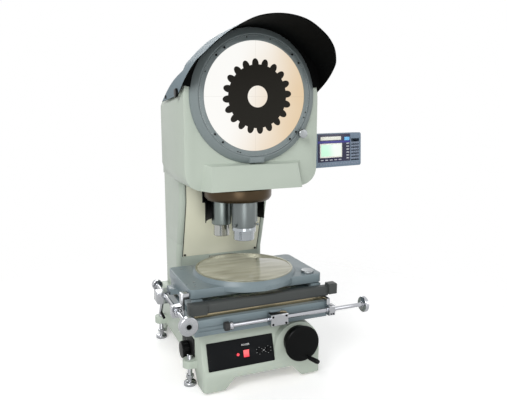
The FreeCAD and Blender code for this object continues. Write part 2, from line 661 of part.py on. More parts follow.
def z_carriage():
    deck = box(-CARRIAGE_HALF, CARRIAGE_FRONT_Y, CARRIAGE_TOP - DECK_THICKNESS, CARRIAGE_HALF, CARRIAGE_REAR_Y,
               CARRIAGE_TOP)
    apron = box(-CARRIAGE_HALF, CARRIAGE_FRONT_Y, CARRIAGE_BOTTOM, CARRIAGE_HALF, CARRIAGE_FRONT_Y + APRON_THICKNESS,
                CARRIAGE_TOP)
    pieces = [deck, apron]
    for side in (-1, 1):
        inner = side * (CARRIAGE_HALF - APRON_THICKNESS)
        outer = side * CARRIAGE_HALF
        pieces.append(box(min(inner, outer), CARRIAGE_FRONT_Y, CARRIAGE_BOTTOM, max(inner, outer), CARRIAGE_REAR_Y,
                          CARRIAGE_TOP))
    pieces.append(box(-LIFT_PLATE_HALF, CARRIAGE_REAR_Y - 20, CARRIAGE_BOTTOM, LIFT_PLATE_HALF,
                      RAIL_FRONT_Y - SLIDE_GAP, CARRIAGE_TOP))
    rear_plate = box(-LIFT_PLATE_HALF, RAIL_FRONT_Y - 25, CARRIAGE_BOTTOM, LIFT_PLATE_HALF, RAIL_FRONT_Y + 24,
                     LIFT_PLATE_TOP)
    pieces.append(rear_plate)
    pieces.append(cylinder(28, V(LIFT_SCREW_X, LIFT_SCREW_Y, CARRIAGE_BOTTOM - 28),
                           V(LIFT_SCREW_X, LIFT_SCREW_Y, CARRIAGE_TOP)))
    body = fused(pieces)
    gap = SLIDE_GAP
    way = rail_prism(gap, CARRIAGE_BOTTOM - 1, LIFT_PLATE_TOP + 1)
    body = body.cut(way)
    body = body.cut(cylinder(LIGHT_HOLE_RADIUS, V(0, 0, CARRIAGE_BOTTOM - 1), V(0, 0, CARRIAGE_TOP + 1)))
    body = body.cut(cylinder(LIFT_SCREW_RADIUS + RUNNING_FIT, V(LIFT_SCREW_X, LIFT_SCREW_Y, CARRIAGE_BOTTOM - 30),
                             V(LIFT_SCREW_X, LIFT_SCREW_Y, CARRIAGE_TOP + 1)))
    for z in (222.0, 234.0):
        body = body.cut(box(-CARRIAGE_HALF + 14, CARRIAGE_FRONT_Y - 1, z, CARRIAGE_HALF - 14, CARRIAGE_FRONT_Y + 2.5, z + 4))
    boss = box(X_NUT_CENTRE - 21, CARRIAGE_FRONT_Y - NUT_PAD, CARRIAGE_BOTTOM + 6, X_NUT_CENTRE + 21,
               CARRIAGE_FRONT_Y + 4, CARRIAGE_TOP)
    front_edges = [edge for edge in upright_edges(boss, Z_AXIS) if edge.CenterOfMass.y < CARRIAGE_FRONT_Y]
    boss = boss.makeFillet(6, front_edges)
    return fused([body, boss])


def rail_prism(gap, low, high):
    """Dovetail of the lift guide, seen from above, grown by a gap."""
    front = RAIL_FRONT_Y - gap
    points = [V(-RAIL_HALF - gap, front, low), V(RAIL_HALF + gap, front, low), V(RAIL_HALF - 10 + gap, front + 25, low),
              V(RAIL_HALF - 10 + gap, COLUMN_LOW_FRONT_Y, low), V(-RAIL_HALF + 10 - gap, COLUMN_LOW_FRONT_Y, low),
              V(-RAIL_HALF + 10 - gap, front + 25, low)]
    return prism(points, V(0, 0, high - low))


def x_guideway():
    rails = []
    for y in (GUIDE_FRONT_Y, GUIDE_REAR_Y):
        rail = box(-CARRIAGE_HALF + 2, y, CARRIAGE_TOP, CARRIAGE_HALF - 2, y + GUIDE_WIDTH, GUIDE_TOP)
        rails.append(rail.makeChamfer(1.5, [edge for edge in upright_edges(rail, X_AXIS)
                                            if edge.CenterOfMass.z > GUIDE_TOP - 1]))
    return group(rails)


def x_slide():
    bottom = GUIDE_TOP + SLIDE_GAP
    plate = rounded_plate(-X_SLIDE_HALF, X_SLIDE_FRONT_Y, X_SLIDE_HALF, X_SLIDE_REAR_Y, bottom, X_SLIDE_TOP, 6)
    opening = rounded_plate(-X_OPENING_HALF, -X_OPENING_DEPTH, X_OPENING_HALF, X_OPENING_DEPTH, bottom - 1,
                            X_SLIDE_TOP + 1, 40)
    body = plate.cut(opening)
    for side in (-1, 1):
        inner = side * Y_RAIL_INNER
        outer = side * X_SLIDE_HALF
        body = body.fuse(box(min(inner, outer), X_SLIDE_FRONT_Y + 8, X_SLIDE_TOP, max(inner, outer), X_SLIDE_REAR_Y - 2,
                             Y_RAIL_TOP))
    gib = box(-X_OPENING_HALF, GUIDE_FRONT_Y + GUIDE_WIDTH + BODY_GAP, CARRIAGE_TOP + BODY_GAP + 4, X_OPENING_HALF,
              -X_OPENING_DEPTH, bottom)
    gib_rear = box(-X_OPENING_HALF, X_OPENING_DEPTH - 9, CARRIAGE_TOP + 4, X_OPENING_HALF,
                   X_OPENING_DEPTH - 6 - BODY_GAP, bottom)
    gib_rear = gib_rear.common(box(-500, 0, 0, 500, GUIDE_REAR_Y - BODY_GAP, 500))
    gib = gib.cut(box(-500, -X_OPENING_DEPTH - 4, 0, 500, 0, bottom))
    body = fused([body, gib])
    arm = box(Y_ROD_X + Y_NUT_RIGHT, Y_NUT_CENTRE - Y_NUT_WIDTH / 2, X_SLIDE_TOP - 22, -X_SLIDE_HALF,
              Y_NUT_CENTRE + Y_NUT_WIDTH / 2, X_SLIDE_TOP - 2)
    return fused([body, arm])


def encoder_bar():
    profile = [V(ENCODER_LEFT, X_SLIDE_FRONT_Y, ENCODER_BOTTOM), V(ENCODER_LEFT, ENCODER_FRONT_Y + 4, ENCODER_BOTTOM),
               V(ENCODER_LEFT, ENCODER_FRONT_Y, ENCODER_BOTTOM + 6), V(ENCODER_LEFT, ENCODER_FRONT_Y, ENCODER_TOP - 4),
               V(ENCODER_LEFT, ENCODER_FRONT_Y + 5, ENCODER_TOP), V(ENCODER_LEFT, X_SLIDE_FRONT_Y - 3, ENCODER_TOP),
               V(ENCODER_LEFT, X_SLIDE_FRONT_Y, ENCODER_TOP - 3)]
    bar = prism(profile, V(ENCODER_RIGHT - ENCODER_LEFT, 0, 0))
    slot = box(ENCODER_LEFT - 1, ENCODER_FRONT_Y + 9, ENCODER_BOTTOM - 1, ENCODER_RIGHT + 1, ENCODER_FRONT_Y + 13,
               ENCODER_BOTTOM + 9)
    return bar.cut(slot)


def encoder_caps():
    caps = []
    for left, right, lift in ((ENCODER_LEFT - ENCODER_CAP, ENCODER_LEFT, 0.0),
                              (ENCODER_RIGHT, ENCODER_RIGHT + ENCODER_CAP_RIGHT, ENCODER_CAP_LIFT)):
        cap = box(left, ENCODER_FRONT_Y - 8, ENCODER_BOTTOM + lift, right, X_SLIDE_FRONT_Y - BODY_GAP,
                  ENCODER_TOP + 2 + lift)
        caps.append(cap.makeChamfer(3, upright_edges(cap, X_AXIS)))
    return caps


def x_nut_block():
    left = X_NUT_CENTRE - X_NUT_WIDTH / 2
    right = X_NUT_CENTRE + X_NUT_WIDTH / 2
    block = box(left, X_ROD_Y - X_NUT_HALF, X_ROD_Z - X_NUT_HALF, right, CARRIAGE_FRONT_Y - NUT_PAD,
                X_ROD_Z + X_NUT_HALF)
    body = block.makeFillet(4, upright_edges(block, X_AXIS))
    return body.cut(cylinder(ROD_RADIUS + RUNNING_FIT, V(left - 1, X_ROD_Y, X_ROD_Z), V(right + 1, X_ROD_Y, X_ROD_Z)))


def x_rod():
    y, z = X_ROD_Y, X_ROD_Z
    rod = cylinder(ROD_RADIUS, V(X_ROD_LEFT, y, z), V(X_KNOB_LEFT + X_KNOB_WIDTH - 2, y, z))
    collar = turned([(0, 0), (13, 0), (15, 2), (15, 15), (12, 17), (12, 20), (14, 22), (14, 27), (12, 29), (0, 29)],
                    V(X_ROD_LEFT, y, z), X_AXIS)
    knob = turned([(0, 0), (11, 0), (11, 4), (X_KNOB_RADIUS - 2, 4), (X_KNOB_RADIUS, 6), (X_KNOB_RADIUS, X_KNOB_WIDTH - 2),
                   (X_KNOB_RADIUS - 2, X_KNOB_WIDTH), (0, X_KNOB_WIDTH)], V(X_KNOB_LEFT, y, z), X_AXIS)
    stop = X_BRACKET_LEFT + X_BRACKET_WIDTH + BODY_GAP
    thrust = turned([(0, 0), (11, 0), (11, 6), (0, 6)], V(stop, y, z), X_AXIS)
    inner = turned([(0, 0), (11, 0), (11, 5), (0, 5)], V(X_BRACKET_LEFT - BODY_GAP - 5, y, z), X_AXIS)
    return fused([rod, collar, knob, thrust, inner])


def x_bracket():
    """The rod's bearing, which hangs from the encoder's underside in front of the carriage."""
    left = X_BRACKET_LEFT
    right = left + X_BRACKET_WIDTH
    y, z = X_ROD_Y, X_ROD_Z
    block = box(left, y - 17, z - 17, right, y + 14, z + 19)
    block = block.makeFillet(5, upright_edges(block, X_AXIS))
    step = left + X_RISER_WIDTH
    shelf_bottom = CARRIAGE_TOP + X_SHELF_GAP
    riser = box(left, y + 2, z + 10, step, CARRIAGE_FRONT_Y - 2, ENCODER_BOTTOM)
    shelf = box(left, y + 2, shelf_bottom, step, GUIDE_FRONT_Y - 2, ENCODER_BOTTOM)
    body = fused([block, riser, shelf])
    return body.cut(cylinder(ROD_RADIUS + RUNNING_FIT, V(left - 1, y, z), V(right + 1, y, z)))


def y_nut_block():
    x, z = Y_ROD_X, Y_ROD_Z
    front = Y_NUT_CENTRE - Y_NUT_WIDTH / 2
    rear = Y_NUT_CENTRE + Y_NUT_WIDTH / 2
    left = x - Y_NUT_ASIDE - Y_NUT_HALF
    right = x - Y_NUT_ASIDE + Y_NUT_HALF
    bottom = z - Y_NUT_DROP - Y_NUT_HALF
    top = z - Y_NUT_DROP + Y_NUT_HALF
    block = box(left, front, bottom, right, rear, top)
    block = block.fuse(box(right - 1, front, z, x + Y_NUT_RIGHT, rear, top))
    block = block.removeSplitter()
    outer = [edge for edge in upright_edges(block, Y_AXIS) if edge.CenterOfMass.x < right - 2]
    block = block.makeFillet(4, outer)
    return block.cut(cylinder(ROD_RADIUS + RUNNING_FIT, V(x, front - 1, z), V(x, rear + 1, z)))


def y_rod():
    x, z = Y_ROD_X, Y_ROD_Z
    rod = cylinder(ROD_RADIUS, V(x, Y_KNOB_FRONT + 2, z), V(x, Y_STOP_REAR - 2, z))
    knob = turned([(5, 0), (Y_KNOB_RADIUS - 2, 0), (Y_KNOB_RADIUS, 2), (Y_KNOB_RADIUS, Y_KNOB_WIDTH - 2),
                   (Y_KNOB_RADIUS - 2, Y_KNOB_WIDTH), (11, Y_KNOB_WIDTH), (11, Y_KNOB_WIDTH + 8), (0, Y_KNOB_WIDTH + 8),
                   (0, 9), (5, 9)], V(x, Y_KNOB_FRONT, z), Y_AXIS)
    rod = rod.cut(cylinder(5, V(x, Y_KNOB_FRONT - 1, z), V(x, Y_KNOB_FRONT + 9, z)))
    stop = turned([(0, 0), (Y_STOP_RADIUS - 2, 0), (Y_STOP_RADIUS, 2), (Y_STOP_RADIUS, Y_STOP_WIDTH - 2),
                   (Y_STOP_RADIUS - 2, Y_STOP_WIDTH), (0, Y_STOP_WIDTH)], V(x, Y_STOP_REAR - Y_STOP_WIDTH, z), Y_AXIS)
    front_collar = turned([(0, 0), (13, 0), (13, 5), (0, 5)], V(x, Y_BRACKET_FRONT - BODY_GAP - 5, z), Y_AXIS)
    rear_collar = turned([(0, 0), (12, 0), (12, 5), (0, 5)], V(x, Y_BRACKET_FRONT + Y_BRACKET_WIDTH + BODY_GAP, z), Y_AXIS)
    return fused([rod, knob, stop, front_collar, rear_collar])


def y_bracket():
    x, z = Y_ROD_X, Y_ROD_Z
    front = Y_BRACKET_FRONT
    rear = front + Y_BRACKET_WIDTH
    half = Y_BRACKET_HALF
    block = box(x - half, front, z - Y_BRACKET_BELOW, -CARRIAGE_HALF - Y_BRACKET_CLEAR, rear, z + half)
    block = block.makeFillet(5, upright_edges(block, Y_AXIS))
    top = PLATE_TOP - 8
    riser = box(-CARRIAGE_HALF - Y_BRACKET_CLEAR - 10, front, z, -CARRIAGE_HALF - Y_BRACKET_CLEAR, rear, top)
    arm = box(-CARRIAGE_HALF - Y_BRACKET_CLEAR - 10, front, PLATE_BOTTOM + 2, -PLATE_HALF_X, rear, top)
    body = fused([block, riser, arm])
    body = body.cut(cylinder(ROD_RADIUS + 4, V(x, front - 1, z), V(x, front + 3, z)))
    return body.cut(cylinder(ROD_RADIUS + RUNNING_FIT, V(x, front - 1, z), V(x, rear + 1, z)))


def stage_plate():
    plate = rounded_plate(-PLATE_HALF_X, -PLATE_HALF_Y, PLATE_HALF_X, PLATE_HALF_Y, PLATE_BOTTOM, PLATE_TOP, PLATE_CORNER)
    rim = STAGE_GLASS_RADIUS + STAGE_RIM_WIDTH
    bulge = cylinder(rim + COLLAR_WIDTH + 3, V(0, 0, PLATE_BULGE_BOTTOM), V(0, 0, PLATE_TOP))
    plate = fused([plate, bulge])
    top_edges = [edge for edge in plate.Edges if edge.BoundBox.ZMin > PLATE_TOP - 0.01]
    plate = plate.makeFillet(3, top_edges)
    collar = turned([(rim, PLATE_TOP - 2), (rim + COLLAR_WIDTH + 3, PLATE_TOP - 2), (rim + COLLAR_WIDTH, PLATE_TOP + 3),
                     (rim + 3, STAGE_GLASS_TOP - 1), (rim, STAGE_GLASS_TOP - 1)], V(0, 0, 0), Z_AXIS)
    pieces = [plate, collar]
    for side in (-1, 1):
        inner = side * (Y_RAIL_INNER + 2)
        outer = side * (X_SLIDE_HALF - 2)
        pieces.append(box(min(inner, outer), -PLATE_HALF_Y + 12, Y_RAIL_TOP + SLIDE_GAP, max(inner, outer),
                          PLATE_HALF_Y - 12, PLATE_BOTTOM))
    body = fused(pieces)
    body = body.cut(cylinder(STAGE_BORE_RADIUS, V(0, 0, PLATE_BOTTOM - 10), V(0, 0, STAGE_GLASS_TOP + 5)))
    body = body.cut(cylinder(rim + SEAT_FIT, V(0, 0, STAGE_GLASS_TOP - 17), V(0, 0, STAGE_GLASS_TOP + 5)))
    return body.cut(cylinder(9 + SEAT_FIT, V(PLUG_X, PLUG_Y, PLATE_TOP - 15), V(PLUG_X, PLUG_Y, PLATE_TOP + 1)))


def stage_rim():
    rim = STAGE_GLASS_RADIUS + STAGE_RIM_WIDTH
    low = STAGE_GLASS_TOP - 17
    return turned([(STAGE_BORE_RADIUS, low), (rim, low), (rim, STAGE_GLASS_TOP), (rim - 1, STAGE_GLASS_TOP + 1),
                   (STAGE_GLASS_RADIUS + SEAT_FIT, STAGE_GLASS_TOP + 1), (STAGE_GLASS_RADIUS + SEAT_FIT, low + 9),
                   (STAGE_BORE_RADIUS, low + 9)], V(0, 0, 0), Z_AXIS)


def stage_plug():
    return turned([(0, -15), (9, -15), (9, 0), (PLUG_RADIUS, 0), (PLUG_RADIUS, 8), (PLUG_RADIUS - 1.5, 9.5), (0, 9.5)],
                  V(PLUG_X, PLUG_Y, PLATE_TOP), Z_AXIS)


def stage_screws():
    screws = []
    for x, y in ((-205, 100), (-160, 114), (-205, -60), (205, 60), (170, 105), (-215, -105)):
        screws.append(turned([(0, 0), (4, 0), (4, 1.5), (2, 1.5), (1.5, 1), (0, 1)], V(x, y, PLATE_TOP), Z_AXIS))
    return screws


def column_profile(inset, low, high):
    """Side view of the column between two heights."""
    half = COLUMN_HALF_WIDTH - inset
    points = [V(-half, y + inset, z) for y, z in COLUMN_FRONT_LINE]
    points += [V(-half, COLUMN_REAR - inset, HEAD_BOTTOM), V(-half, COLUMN_REAR - inset, BASE_TOP)]
    whole = prism(points, V(2 * half, 0, 0))
    return whole.common(box(-half - 1, 0, low, half + 1, COLUMN_REAR + 1, high))


def column_shell(low, high):
    """A hollow column length with rounded corners and a recessed front."""
    body = column_profile(0.0, low, high)
    edges = [edge for edge in body.Edges if abs(abs(edge.CenterOfMass.x) - COLUMN_HALF_WIDTH) < 0.01 and
             (edge.CenterOfMass.y < COLUMN_LOW_FRONT_Y + 1 or edge.CenterOfMass.y > COLUMN_REAR - 1) and
             edge.BoundBox.ZLength > 5]
    body = body.makeFillet(COLUMN_EDGE, edges)
    return body.cut(column_profile(COLUMN_WALL, BASE_TOP, HEAD_BOTTOM))


def cover_band(half, depth_front, depth_rear):
    """The band that follows the column's front between two depths."""
    line = ((COLUMN_LOW_FRONT_Y, COVER_BOTTOM),) + COLUMN_FRONT_LINE[1:]
    points = [V(-half, y + depth_front, z) for y, z in line] + [V(-half, y + depth_rear, z) for y, z in reversed(line)]
    return prism(points, V(2 * half, 0, 0))


def column_lower():
    shell = column_shell(BASE_TOP, COLUMN_JOINT_Z)
    return shell.cut(cover_band(COVER_HALF_WIDTH + COVER_SEAM, -1.0, COVER_SHEET))


def column_upper():
    shell = column_shell(COLUMN_JOINT_Z, HEAD_BOTTOM)
    return shell.cut(cover_band(COVER_HALF_WIDTH + COVER_SEAM, -1.0, COVER_SHEET))


def column_cover():
    return cover_band(COVER_HALF_WIDTH, 0.0, COVER_SHEET - SEAT_FIT)


def cover_screws():
    screws = []
    for side in (-1, 1):
        screws.append(turned([(0, 0), (4.5, 0), (4.5, 2), (3, 3), (0, 3)],
                             V(side * (COVER_HALF_WIDTH - 8), COLUMN_LOW_FRONT_Y, COVER_BOTTOM + 5.5), V(0, -1, 0)))
    return screws


def head_form(inset):
    """The head without its openings, shrunk by an inset."""
    half = HEAD_HALF_WIDTH - inset
    front = HEAD_FRONT_Y + inset
    low = HEAD_BOTTOM + inset
    flare_rear = HEAD_FLARE_REAR - inset
    taper_rear = HEAD_FLARE_REAR + HEAD_TAPER - inset
    narrow = COLUMN_HALF_WIDTH - inset
    front_wire = head_wire(half, SCREEN_HEIGHT, HEAD_FRONT_RISE - inset, front)
    flare_wire = head_wire(half, HEAD_FLARE_SIDE_Z, HEAD_FLARE_RISE - inset, flare_rear)
    narrow_wire = head_wire(narrow, REAR_HOUSING_LOW_TOP, narrow, taper_rear)
    flare = Part.makeLoft([front_wire, flare_wire], True, True)
    taper = Part.makeLoft([flare_wire, narrow_wire], True, True)
    lower = lower_block(half, low, front, flare_rear)
    flared = flare.fuse(taper).fuse(lower).common(swept_side(front, low, taper_rear + inset + 1))
    core = box(-narrow, HEAD_FLARE_REAR - HEAD_REAR_SWEEP - 60, low, narrow, HEAD_REAR - inset, REAR_HOUSING_LOW_TOP)
    roof = cylinder(narrow, V(0, taper_rear - 1, REAR_HOUSING_LOW_TOP), V(0, HEAD_REAR - inset, REAR_HOUSING_LOW_TOP))
    return flared.fuse(core).fuse(roof)


def lower_block(half, low, front, rear):
    """The head below the flare's corner height, with rounded lower corners."""
    block = box(-half, front, low, half, rear, HEAD_BOTTOM + 2 * HEAD_CORNER)
    edges = [edge for edge in upright_edges(block, Y_AXIS) if edge.CenterOfMass.z < low + 1]
    return block.makeFillet(HEAD_CORNER, edges)


def swept_side(front, low, rear):
    """Side view of the head, whose underside sweeps up to the rear."""
    sweep = HEAD_REAR_SWEEP
    start_y = HEAD_FLARE_REAR - sweep
    high = low + sweep * 1.5
    top = SCREEN_HEIGHT + 2 * HEAD_HALF_WIDTH
    x = -2 * HEAD_HALF_WIDTH
    middle = V(x, HEAD_FLARE_REAR - sweep * 0.25, low + sweep * 0.33)
    outline = [Part.LineSegment(V(x, front, low), V(x, start_y, low)).toShape(),
               Part.Arc(V(x, start_y, low), middle, V(x, rear, high)).toShape(),
               Part.LineSegment(V(x, rear, high), V(x, rear, top)).toShape(),
               Part.LineSegment(V(x, rear, top), V(x, front, top)).toShape(),
               Part.LineSegment(V(x, front, top), V(x, front, low)).toShape()]
    return Part.Face(Part.Wire(outline)).extrude(V(-2 * x, 0, 0))


def head_wire(half, side_z, rise, y):
    """A section of the head with straight sides under an arched roof."""
    low = HEAD_BOTTOM + HEAD_CORNER
    left = V(-half, y, side_z)
    right = V(half, y, side_z)
    return Part.Wire([Part.LineSegment(left, V(-half, y, low)).toShape(),
                      Part.LineSegment(V(-half, y, low), V(half, y, low)).toShape(),
                      Part.LineSegment(V(half, y, low), right).toShape(),
                      Part.Arc(right, V(0, y, side_z + rise), left).toShape()])


def nose_form():
    top_half = NOSE_HALF_TOP
    low_half = NOSE_HALF_BOTTOM
    slope = NOSE_SIDE_SLOPE
    back_y = HEAD_FRONT_Y + 4
    back = Part.makePolygon([V(-top_half - slope, back_y, NOSE_TOP + 8), V(top_half + slope, back_y, NOSE_TOP + 8),
                             V(low_half + slope, back_y, HEAD_BOTTOM), V(-low_half - slope, back_y, HEAD_BOTTOM),
                             V(-top_half - slope, back_y, NOSE_TOP + 8)])
    face = Part.makePolygon([V(-top_half, NOSE_FACE_TOP_Y, NOSE_TOP), V(top_half, NOSE_FACE_TOP_Y, NOSE_TOP),
                             V(low_half, NOSE_FACE_BOTTOM_Y, HEAD_BOTTOM), V(-low_half, NOSE_FACE_BOTTOM_Y, HEAD_BOTTOM),
                             V(-top_half, NOSE_FACE_TOP_Y, NOSE_TOP)])
    return Part.makeLoft([back, face], True, True)


def head_casting():
    head = head_form(0.0).fuse(nose_form())
    head = head.cut(head_form(HEAD_WALL))
    head = head.cut(box(-NOSE_HALF_TOP + 12, NOSE_FACE_TOP_Y + 14, HEAD_BOTTOM + 12, NOSE_HALF_TOP - 12,
                        HEAD_FRONT_Y + 20, NOSE_TOP - 16))
    head = head.cut(facing_bar(HEAD_OPENING_RADIUS, SCREEN, HEAD_FRONT_Y - 30, HEAD_FRONT_Y + 30))
    ring_room = FIXED_RING_RADIUS + RING_BEVEL + BODY_GAP
    head = head.cut(facing_bar(ring_room, SCREEN, HEAD_FRONT_Y - 60, HEAD_FRONT_Y))
    head = head.cut(cylinder(40, V(0, 0, HEAD_BOTTOM - 5), V(0, 0, HEAD_BOTTOM + 30)))
    pin_bore = TURRET_PIN_RADIUS + SEAT_FIT
    head = head.cut(cylinder(pin_bore, V(0, TURRET_Y, HEAD_BOTTOM - 5), V(0, TURRET_Y, HEAD_BOTTOM + 30)))
    column_hole = box(-COLUMN_HALF_WIDTH + 30, COLUMN_TOP_FRONT_Y + 30, HEAD_BOTTOM - 5, COLUMN_HALF_WIDTH - 30,
                      COLUMN_REAR - 30, HEAD_BOTTOM + 30)
    head = head.cut(column_hole)
    lap = REAR_COVER_LAP
    rear_hole = box(-REAR_COVER_HALF + lap, HEAD_REAR - 30, REAR_COVER_BOTTOM + lap, REAR_COVER_HALF - lap,
                    HEAD_REAR + 5, REAR_COVER_TOP - lap)
    head = head.cut(rear_hole)
    for y, rise in (HOOD_KNOB_AT, HOOD_SCREW_AT):
        z = SCREEN_HEIGHT + rise
        for side in (-1, 1):
            boss = cylinder(HOOD_BOSS_RADIUS, V(side * (HEAD_HALF_WIDTH - 2 * HEAD_WALL), y, z),
                            V(side * (HOOD_INNER_HALF - SEAT_FIT), y, z))
            head = head.fuse(boss)
        head = head.cut(cylinder(HOOD_SCREW_RADIUS + RUNNING_FIT, V(-300, y, z), V(300, y, z)))
    return head.removeSplitter()


def rear_cover():
    rear = HEAD_REAR + REAR_COVER_SHEET
    cover = box(-REAR_COVER_HALF, HEAD_REAR, REAR_COVER_BOTTOM, REAR_COVER_HALF, rear, REAR_COVER_TOP)
    cover = cover.makeFillet(10, upright_edges(cover, Y_AXIS))
    middle = (REAR_COVER_BOTTOM + REAR_COVER_TOP) / 2
    for step in (-30, -15, 0, 15, 30):
        cover = cover.cut(box(-60, HEAD_REAR - 1, middle + step, 60, rear + 1, middle + step + 5))
    return cover


def hood_wire(section, inset, y):
    """The hood's section at one depth, closed below the lower edge."""
    outline = [V(x, y, z) for x, z in section] + [V(-x, y, z) for x, z in reversed(section[:-1])]
    points = []
    for index, point in enumerate(outline):
        before = outline[max(index - 1, 0)]
        after = outline[min(index + 1, len(outline) - 1)]
        inward = (after - before).cross(Y_AXIS).normalize()
        points.append(point + inward * inset + V(0, 0, SCREEN_HEIGHT))
    curve = Part.BSplineCurve()
    curve.interpolate(Points=points[1:-1], InitialTangent=points[1] - points[0], FinalTangent=points[-1] - points[-2])
    low = SCREEN_HEIGHT + HOOD_REAR_LOW - 10
    first = V(points[0].x, y, low)
    last = V(points[-1].x, y, low)
    return Part.Wire([Part.LineSegment(first, points[1]).toShape(), curve.toShape(),
                      Part.LineSegment(points[-2], last).toShape(), Part.LineSegment(last, first).toShape()])


def hood_form(inset):
    """The room under the hood's outside, shrunk by an inset."""
    flare_step = HOOD_SEAT_Y - HOOD_LIP_Y
    seat = hood_wire(HOOD_SEAT_SECTION, inset, HOOD_SEAT_Y)
    lip = hood_wire(HOOD_LIP_SECTION, inset, HOOD_SEAT_Y - flare_step)
    flare = Part.makeLoft([seat, lip], True, True)
    return flare.fuse(Part.Face(seat).extrude(V(0, HOOD_REAR_Y - HOOD_SEAT_Y, 0)))


def side_point(at):
    """A point of the hood's side view from (depth, height over the screen centre)."""
    return V(-2 * HEAD_HALF_WIDTH, at[0], SCREEN_HEIGHT + at[1])


def hood():
    sheet = hood_form(0.0).cut(hood_form(HOOD_SHEET))
    rear_low = side_point((HOOD_REAR_Y, HOOD_REAR_LOW))
    rear_high = side_point((HOOD_SEAT_Y, HOOD_SIDE_HIGH))
    rear_top = side_point((HOOD_SEAT_Y, HOOD_LIP_RISE))
    lip_low = side_point(HOOD_FRONT_LOW)
    lip_join = side_point(HOOD_LIP_JOIN)
    lip_top = side_point((HOOD_LIP_Y, HOOD_LIP_RISE))
    edges = [Part.LineSegment(rear_low, lip_low).toShape(),
             Part.Arc(lip_low, side_point(HOOD_LIP_LOW_MID), lip_join).toShape(),
             Part.Arc(lip_join, side_point(HOOD_LIP_HIGH_MID), lip_top).toShape(),
             Part.LineSegment(lip_top, rear_top).toShape(),
             Part.LineSegment(rear_top, rear_high).toShape(),
             Part.Arc(rear_high, side_point(HOOD_SIDE_MID), rear_low).toShape()]
    sheet = sheet.common(Part.Face(Part.Wire(edges)).extrude(V(4 * HEAD_HALF_WIDTH, 0, 0)))
    for y, rise in (HOOD_KNOB_AT, HOOD_SCREW_AT):
        z = SCREEN_HEIGHT + rise
        sheet = sheet.cut(cylinder(HOOD_SCREW_RADIUS + RUNNING_FIT, V(-300, y, z), V(300, y, z)))
    return sheet.removeSplitter()


def hood_rear_screws():
    screws = []
    outer = HOOD_INNER_HALF + HOOD_SHEET
    reach = HEAD_HALF_WIDTH - 2 * HEAD_WALL - outer
    for side in (-1, 1):
        start = V(side * outer, HOOD_SCREW_AT[0], SCREEN_HEIGHT + HOOD_SCREW_AT[1])
        screws.append(turned([(0, reach), (HOOD_SCREW_RADIUS, reach), (HOOD_SCREW_RADIUS, 0.1), (6, 0.1), (6, 2.5),
                              (4.5, 3.5), (0, 3.5)], start, V(side, 0, 0)))
    return screws


def hood_knob(side):
    outer = HOOD_INNER_HALF + HOOD_SHEET + BODY_GAP
    radius = HOOD_KNOB_RADIUS
    length = HOOD_KNOB_LENGTH
    reach = HEAD_HALF_WIDTH - 2 * HEAD_WALL - outer
    y = HOOD_KNOB_AT[0]
    z = SCREEN_HEIGHT + HOOD_KNOB_AT[1]
    knob = turned([(0, reach), (HOOD_SCREW_RADIUS, reach), (HOOD_SCREW_RADIUS, 0), (radius - 1, 0), (radius, 1),
                   (radius, length - 1.5), (radius - 1.5, length), (0, length)], V(side * outer, y, z), V(side, 0, 0))
    for turn in range(0, 360, 45):
        spot_y = y + (radius + 2) * math.cos(math.radians(turn))
        spot_z = z + (radius + 2) * math.sin(math.radians(turn))
        start = V(side * (outer + 1), spot_y, spot_z)
        knob = knob.cut(cylinder(3, start, start + V(side * length, 0, 0)))
    return knob


def fixed_ring():
    bore = SCALE_RING_RADIUS + RUNNING_FIT
    outer = FIXED_RING_RADIUS
    depth = HEAD_FRONT_Y - RING_FACE_Y
    ring = turned([(bore, -depth), (bore + 3, -depth), (bore + 3, -depth), (outer, -depth + FIXED_RING_SLOPE),
                   (outer, -3), (outer + RING_BEVEL, 0), (HEAD_OPENING_RADIUS - SEAT_FIT, 0),
                   (HEAD_OPENING_RADIUS - SEAT_FIT, 14), (bore, 14)],
                  V(0, HEAD_FRONT_Y, SCREEN_HEIGHT), Y_AXIS)
    pad = box(-22, RING_FACE_Y, SCREEN_HEIGHT - outer + 2, 30, HEAD_FRONT_Y - 2, SCREEN_HEIGHT - SCALE_RING_RADIUS - 2)
    lock = polar(SCALE_RING_RADIUS + 11, -36.5, 0, SCREEN_HEIGHT, 0)
    lug = facing_bar(13, lock, RING_FACE_Y - 1, HEAD_FRONT_Y)
    ring = ring.fuse(pad).fuse(lug)
    ring = ring.cut(facing_bar(SCALE_RING_RADIUS + RUNNING_FIT, SCREEN, RING_FACE_Y - 20, HEAD_FRONT_Y + 20))
    ring = ring.cut(facing_bar(4 + RUNNING_FIT, lock, RING_FACE_Y - 10, HEAD_FRONT_Y - 4))
    return ring.removeSplitter()


def vernier_plate():
    low = SCREEN_HEIGHT - FIXED_RING_RADIUS + 4
    high = SCREEN_HEIGHT - SCALE_RING_RADIUS - 1.5
    plate = box(-20, RING_FACE_Y - 2, low, 28, RING_FACE_Y, high)
    plate = plate.cut(facing_bar(SCALE_RING_RADIUS + 1, SCREEN, RING_FACE_Y - 5, RING_FACE_Y + 5))
    for x in (-14, 22):
        plate = plate.fuse(cylinder(2.6, V(x, RING_FACE_Y - 3.2, low + 7), V(x, RING_FACE_Y - 2, low + 7)))
    return plate


def scale_ring():
    """The graduated ring that turns with the screen glass."""
    outer = SCALE_RING_RADIUS
    return turned([(SCREEN_RADIUS + 2, 0), (outer - 2.4, 0), (outer - 2.4, 2.4), (outer, 2.4), (outer, SCALE_RING_DEPTH),
                   (SCREEN_RADIUS + SCREEN_OVERLAP, SCALE_RING_DEPTH), (SCREEN_RADIUS + SCREEN_OVERLAP, 5),
                   (SCREEN_RADIUS, 5), (SCREEN_RADIUS, 2)],
                  V(0, RING_FACE_Y, SCREEN_HEIGHT), Y_AXIS)


